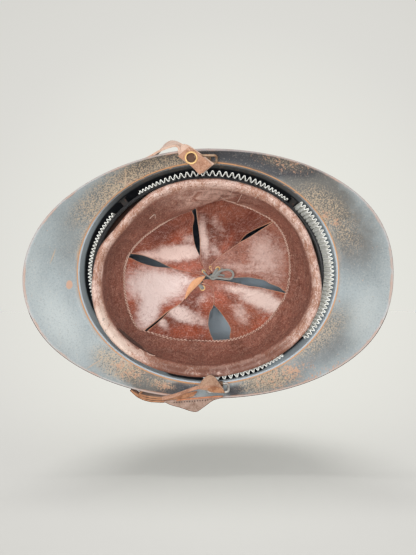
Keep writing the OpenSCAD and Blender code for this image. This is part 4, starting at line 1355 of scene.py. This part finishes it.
# Its dark spot under the eyelet is painted shade, where the hole shows the layer behind
pale_strap_finish = suede("rubbed_strap_leather", (226, 194, 174), (200, 158, 134), (238, 214, 198),
                          shaded_spot=seen(*EYELET_PX, 13))
bundle_finish = suede("folded_strap_leather", (186, 136, 102), (138, 88, 62), (214, 168, 132))
suede_finish = suede("suede_back", (172, 144, 130), (132, 102, 86), (214, 190, 176))
hood_finish = suede("dry_hood_leather", (184, 148, 124), (148, 110, 88), (212, 180, 160))
rusty_edge_finish = suede("rusty_leather_edge", (206, 136, 98), (172, 104, 72), (226, 164, 126))
hole_finish = suede("stitch_holes", (58, 46, 42), (34, 28, 26), (84, 66, 58))
edge_finish = suede("cut_leather_edge", (224, 184, 160), (196, 150, 128), (240, 208, 186))
curl_finish = suede("curled_flesh", (240, 184, 140), (224, 160, 114), (250, 208, 170))
thread_finish = suede("linen_thread", (226, 196, 178), (196, 158, 140), (244, 226, 214))
felt_finish = suede("dark_felt", (46, 46, 48), (26, 26, 29), (76, 74, 72))


def woven(name):
    """A flat cotton lace: chevrons of thread along it."""
    f = Finish(name, Roughness=0.8, Specular_IOR_Level=0.2, Sheen_Weight=0.3)
    across, along = f.flow.part("X"), f.flow.part("Y")
    rows = (along * 260 + (across * 2 * math.pi).maths("COSINE") * 1.5).maths("SINE") * 0.5 + 0.5
    picks = (across * 75).maths("SINE") * 0.5 + 0.5
    weave = rows * 0.6 + picks * 0.4
    base = f.plain(122, 126, 124).mix(weave, (178, 180, 174))
    base = base.mix(f.place.noise(200, 4, 0.7).step(0.55, 0.7) * 0.4, (128, 120, 100))
    f.set("Base Color", base)
    f.relief(weave, 0.2, 0.8)
    return f


lace_finish = woven("woven_lace")


# Pieces
def goes_with(piece, body):
    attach(piece, body)


def stands_for(piece, body, node):
    """Puts a piece in the place of a CAD node."""
    goes_with(piece, body)
    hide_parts(node)


dome = make_dome()
wear(dome, paint_finish, inner_finish)
for quarter in range(4):
    across_fill(f"foot_fill_{quarter}", 90 * quarter, 1.2, 0.35, 2.2, dome)
stands_for(dome, "helmet", "dome")
visor = make_brim("visor_sheet", SEAM_A + SEAM_GAP_A, 360 - SEAM_A - SEAM_GAP_A)
wear(visor, brim_finish)
stands_for(visor, "helmet", "visor")
guard = make_brim("neck_guard_sheet", SEAM_GAP_A - SEAM_A, SEAM_A - SEAM_GAP_A)
wear(guard, brim_finish)
stands_for(guard, "helmet", "neck_guard")
crest = make_crest()
wear(crest, paint_finish)
stands_for(crest, "helmet", "crest")

# Each fluted strip: its ends in degrees, its flutes, how they crowd, their depth, the strip's lean
# and reach, whether the reach fades, and the power of its lamp
STRIPS = {
    "left": (48, 126, 32, 0.3, FLUTE_DEPTH, 0, 0, False, 9),
    "right": (-52, -130, 32, 0.3, 4.0, 2.4, 4.2, True, 14),
    "front": (143, 218, 37, 0, FRONT_FLUTE_DEPTH, 0, 0, False, 9),
    "rear": (42, -38, 36, 0, 3.5, 4.3, 4.7, False, 14)}
for side, (start, end, *shape, fill_w) in STRIPS.items():
    strip = make_strip(f"fluted_strip_{side}", start, end, *shape)
    wear(strip, aluminium)
    stands_for(strip, "helmet", f"corrugated_strip_{side}")
    across_fill(f"fluted_strip_{side}_fill", (start + end) / 2, 0.8, 1.1, fill_w, strip)

band = make_band()
wear(band, band_finish)
stands_for(band, "helmet", "sweatband")

felt = make_felt()
wear(felt, felt_finish)
stands_for(felt, "helmet", "felt_band")

# Each tongue: its leaf, its two edges and how far each stands off, and its bulge
TONGUES = (("f", ("f_over", -1.6), ("f_under", 1.4), 2.2), ("a", ("a_over", -1.6), ("a_under", 1.4), 2.0),
           ("b", ("b_over", -1.6), ("b_under", 1.4), 1.6), ("c", ("c_over", -1.8), ("c_lower", -0.6), 2.4),
           ("d", ("d_upper", -0.8), ("d_under", 1.6), 2.4), ("e", ("e_over", -1.4), ("e_under", 1.4), 1.4))
for number, (key, (edge_0, off_0), (edge_1, off_1), billow) in enumerate(TONGUES, 1):
    leaf = make_tongue(f"leaf_{key}", (EDGES[edge_0], off_0), (EDGES[edge_1], off_1), billow,
                       7.0 * ord(key))
    wear(leaf, tongue_finishes[key], edge_finish)
    stands_for(leaf, "helmet", f"tongue_{number}")

for piece, finish in ((make_curl(), curl_finish), (make_seam_stitches(), thread_finish),
                      (make_back_seam(), thread_finish), (make_loose_threads(), thread_finish)):
    wear(piece, finish)
    goes_with(piece, "helmet")

# Eyelets of the tongues: pixels of the picture, how far each stands off, and its radius
EYELETS = ((217.8, 268.8, -2.0, 2.4), (202.6, 288, -1.2, 2.6), (203.8, 271.5, -1.0, 1.7),
           (210.6, 267.6, -1.0, 1.7), (197.8, 277.4, -1.0, 1.8), (214, 283, 0.4, 1.7))
eyelets = joined("lace_eyelets", *(
    make_eyelet("eyelet", off_crown(px, py, off), PLUMB, outer, outer * 0.62, 1.0)
    for px, py, off, outer in EYELETS))
wear(eyelets, brass)
stands_for(eyelets, "helmet", "tongue_eyelets")

# The lace's runs: width, thickness, then pixels of the picture and how far each stands off
LACE = {
    "lace_bow": (1.9, 1.6, (
        (212.5, 277, -4.2), (215, 275, -5.4), (218, 272, -6.4), (222, 270.2, -7), (227.5, 269.4, -7),
        (232, 271.5, -6.6), (233, 275.5, -6.2), (230, 278.6, -5.8), (224, 278.4, -5.4),
        (218, 277.6, -5), (213.5, 277.4, -4.6))),
    "lace_run": (2.7, 0.9, (
        (212, 277.4, -3.6), (213.5, 274.5, -4.6), (215.4, 271.4, -4.6), (217.4, 268.9, -3.4),
        (217.6, 268.7, 1.0))),
    "lace_run_2": (2.4, 0.8, (
        (214.4, 278.2, -3.6), (216.6, 275.4, -5.4), (218.6, 272.6, -5.8), (221.4, 269.8, -5.6),
        (223, 268.4, -4.8))),
    "lace_knot": (2.0, 1.3, (
        (209.4, 276.4, -2), (211, 278.2, -4), (213.6, 278.8, -4.8), (215.4, 277.2, -5),
        (214, 275.6, -4.6), (211.4, 275.8, -3.6), (209.8, 277.6, -1.6))),
    "lace_end": (3.4, 0.9, (
        (203.8, 290.2, 1.5), (203, 288.6, -1.6), (201.6, 287, -2.6), (200.2, 285.4, -1.6),
        (199.4, 284, 1))),
    "lace_ring": (1.9, 0.9, (
        (202, 269.6, -0.6), (204.4, 272.6, -1.4), (207, 275.4, -1.2), (209.8, 277, -1.6))),
    "lace_tail": (2.0, 0.8, ((224.6, 275.6, -3.4), (221.4, 275, -4), (218.6, 274.6, -4.2), (216, 275.6, -4))),
    "lace_under": (1.8, 0.8, ((196.4, 278.6, -1.6), (199.4, 277, -1.9), (202.8, 276, -1.4), (206, 276.6, 0)))}
lace = joined("lace", *(strand(name, [off_crown(*p) for p in path], width, thick)
                        for name, (width, thick, path) in LACE.items()))
wear(lace, lace_finish)
stands_for(lace, "helmet", "drawstring")

# Chin strap: on edge round the dome's front, from the left apex to the folded bundle at the right.
# Its round stretch has a radius, a centre and an end in degrees either side
STRAP_W, STRAP_T, STRAP_Z = 13.0, 2.2, 32.5
ARC_R, ARC_C, ARC_END = 80.03, -32.37, 40
LEFT_FOLD, RIGHT_FOLD = Vector((109.2, -30, 16.1)), Vector((-103.8, -28, 16.1))
LEFT_RUN, RIGHT_RUN = Vector((-0.316, -0.949, 0)) * 18, Vector((-0.0995, -0.995, 0)) * 30


def strap_side(fold, run, swing, sign, t):
    """The strap between its fold and the round stretch, as a cubic curve."""
    a = Vector((sign * ARC_R * sin_d(ARC_END), ARC_C - ARC_R * cos_d(ARC_END), STRAP_Z))
    b = a + Vector((sign * cos_d(ARC_END), sin_d(ARC_END), 0)) * swing
    c = fold + run + Vector((0, 0, 7))
    r = 1 - t
    return fold * r ** 3 + c * 3 * r * r * t + b * 3 * r * t * t + a * t ** 3


arc = [Vector((ARC_R * sin_d(a), ARC_C - ARC_R * cos_d(a), STRAP_Z))
       for a in range(ARC_END, -ARC_END - 1, -8)]
route = ([strap_side(LEFT_FOLD, LEFT_RUN, 24, 1, t) for t in (0.36, 0.5, 0.64, 0.78, 0.9)] + arc
         + [strap_side(RIGHT_FOLD, RIGHT_RUN, 40, -1, t) for t in (0.9, 0.78, 0.64, 0.5, 0.36)])
half_up = PLUMB * (STRAP_W / 2)
chin_strap = ribbon("strap_round_visor", [p - half_up for p in route], [p + half_up for p in route],
                    STRAP_T, 200)
wear(chin_strap, strap_finish)
stands_for(chin_strap, "helmet", "chin_strap")

# Left end: the strap leaves the brim's edge, twists over its apex and runs behind the tab
left_start = route[0]
left_lower = [left_start - half_up] + edge_points((
    (151, 155.8, 15), (156.5, 152.6, 13.5), (163.1, 149.3, 11.8), (169, 147.3, 11), (175.4, 146, 10.5),
    (178.9, 148.4, 10.6), (178.8, 154, 10.8), (184, 161, 11.4), (203, 173.4, 12.4)))
left_upper = [left_start + half_up] + edge_points((
    (152.5, 158.4, 28), (156.9, 154.4, 26.3), (162.4, 148.4, 24.2), (166.1, 143.9, 23), (171.2, 141.3, 21.5),
    (176.3, 142, 20), (182.5, 144.6, 16), (190.6, 146.6, 12.4), (214.4, 163.8, 12.6)))
left_end = ribbon("strap_left_end", left_lower, left_upper, 1.8, 120)
wear(left_end, pale_strap_finish)
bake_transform(left_end)

eyelet_at = seen(*EYELET_PX, 8.4)
left_tab = cut_piece("left_tab", [
    (178.6, 155.8, 9), (183.2, 151.8, 9), (188.2, 147.8, 9), (190.2, 147.6, 9), (196.5, 151.6, 8.7),
    (203.5, 157.4, 8.3), (210.6, 163.9, 8.2), (211.2, 165.4, 8.2), (206.4, 169.6, 8.2),
    (200.4, 174.2, 8.2), (198.6, 173.8, 8.2), (193.2, 168.2, 8.3), (186.8, 162.6, 8.6),
    (178.6, 156.9, 9)], 1.6, hole=(eyelet_at, 3.9), seed=3.0)
wear(left_tab, strap_finish)
stands_for(left_tab, "left_loop", "strap_tab_left")
strap_eyelet = make_eyelet("strap_eyelet_ring", eyelet_at - PLUMB * 0.5, PLUMB, 5.3, 4.1, 2.4)
wear(strap_eyelet, brass)
stands_for(strap_eyelet, "left_loop", "strap_eyelet")

# Right end: the folded bundle, a thin twisted band, the hood over the loop and the worn flap.
# Each fold: its lean, then its lower edge as pixels of the picture and heights
FOLDS = (
    (0.6, [(139.7, 394.2, 16), (147, 396.3, 14.6), (154.3, 397.4, 13), (164, 398.2, 11), (178, 397, 10.4)]),
    (0, [(131.5, 390.6, 17), (138, 395, 16), (144, 397.8, 15), (150, 399, 14), (158, 399.8, 12.4),
         (166, 399.6, 11), (178, 398.4, 10.4)]),
    (-0.5, [(130.5, 390.2, 18), (136.5, 395.6, 16.6), (142, 398.9, 15.4), (148, 400.8, 14),
            (155, 401.7, 12.4), (165, 401.6, 11), (178, 400, 10.4)]))
folds = []
for k, (lean, lower) in enumerate(FOLDS):
    low = edge_points(lower)
    if k == 0:
        low = [route[-1] - half_up] + low
    high = [p + Vector((lean, 0, 11.5)) for p in low]
    folds.append(ribbon(f"strap_fold_{k}", low, high, 1.25, 70, seed=20.0 * k))
bundle = joined("strap_right_folds", *folds)
wear(bundle, bundle_finish)
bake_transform(bundle)

twisted_low = edge_points(((162, 400.2, 9.4), (172, 397.8, 8.6), (180, 395.2, 8.2), (188, 392.2, 7.9),
                           (195, 389.8, 7.7), (203, 388.2, 7.6), (210, 387.6, 7.6), (218, 387.6, 7.8)))
twisted = ribbon("twisted_band", twisted_low, [p + Vector((2.3, 0, 2.2)) for p in twisted_low], 1.3, 90)
triangle = cut_piece("inner_fold", [
    (167, 400, 11), (174, 397.6, 10.8), (181, 395, 10.6), (189, 392.6, 10.4), (197, 391.2, 10.4),
    (195, 394.4, 10.4), (192, 396.6, 10.4), (182, 399, 10.6)], 1.1, seed=9.0)
hood = cut_piece("strap_hood", [
    (197.6, 387, 8.6), (200.6, 382.4, 8.2), (204.6, 377.8, 8), (208.6, 375.2, 8), (211.6, 375.2, 8),
    (215.4, 377.6, 8), (218.4, 382, 8.2), (221.4, 386, 8.8), (223.6, 390, 9.4), (218, 391, 10),
    (208, 390, 9.8), (200, 389, 9.2)], 1.4, seed=15.0)
folded = cut_piece("loop_fold", [
    (208, 386.8, 8.4), (214, 386.2, 8), (219.6, 387.2, 8), (223.6, 390.4, 8.4), (224, 392.4, 9),
    (217, 392.4, 9), (208.6, 391, 9)], 1.4, seed=18.0)
flap = cut_piece("worn_flap", [
    (164, 401.4, 9.4), (172, 400, 8.8), (186, 399.2, 8.4), (200, 398, 8.2), (210, 396.8, 8.2),
    (222, 396.4, 8.4), (222.4, 397.6, 8.4), (213, 400.4, 8.2), (205.6, 405.6, 8), (198.6, 410.6, 8),
    (195.2, 411.6, 8), (189.4, 410.6, 8), (180, 407.4, 8.2), (170, 404.6, 8.6)], 1.5, seed=27.0)
wear(flap, suede_finish)
stands_for(flap, "right_loop", "strap_tab_right")
lip = strand("flap_lip", edge_points((
    (176, 400.4, 7.6), (186, 399.2, 7.3), (196, 398.3, 7.2), (206, 397.4, 7.2), (215, 396.6, 7.3),
    (223.4, 396.2, 7.5))), 1.1, 1.0)
hole_frames = [(seen(174 + 2.6 * i, 402.6 - 0.195 * i, 7.25), RIGHT, PLUMB) for i in range(14)]
flap_holes = copies("flap_stitch_holes", ball("stitch_hole", (0.9, 1.2, 0.5)), hole_frames)
for piece, finish in ((twisted, strap_finish), (triangle, bundle_finish), (hood, hood_finish),
                      (folded, bundle_finish), (lip, rusty_edge_finish), (flap_holes, hole_finish)):
    wear(piece, finish)
    goes_with(piece, "right_loop")

# The CAD's own small metal pieces
for node, finish in (("crest_rivets", paint_finish), ("bail_rivets", paint_finish), ("liner_tabs", shade_dark_tab),
                     ("left_bail", rusty_wire), ("right_bail", steel), ("left_bail_clip", rusty),
                     ("right_bail_clip", rusty), ("strap_buckle", steel)):
    wear(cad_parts[node], finish)
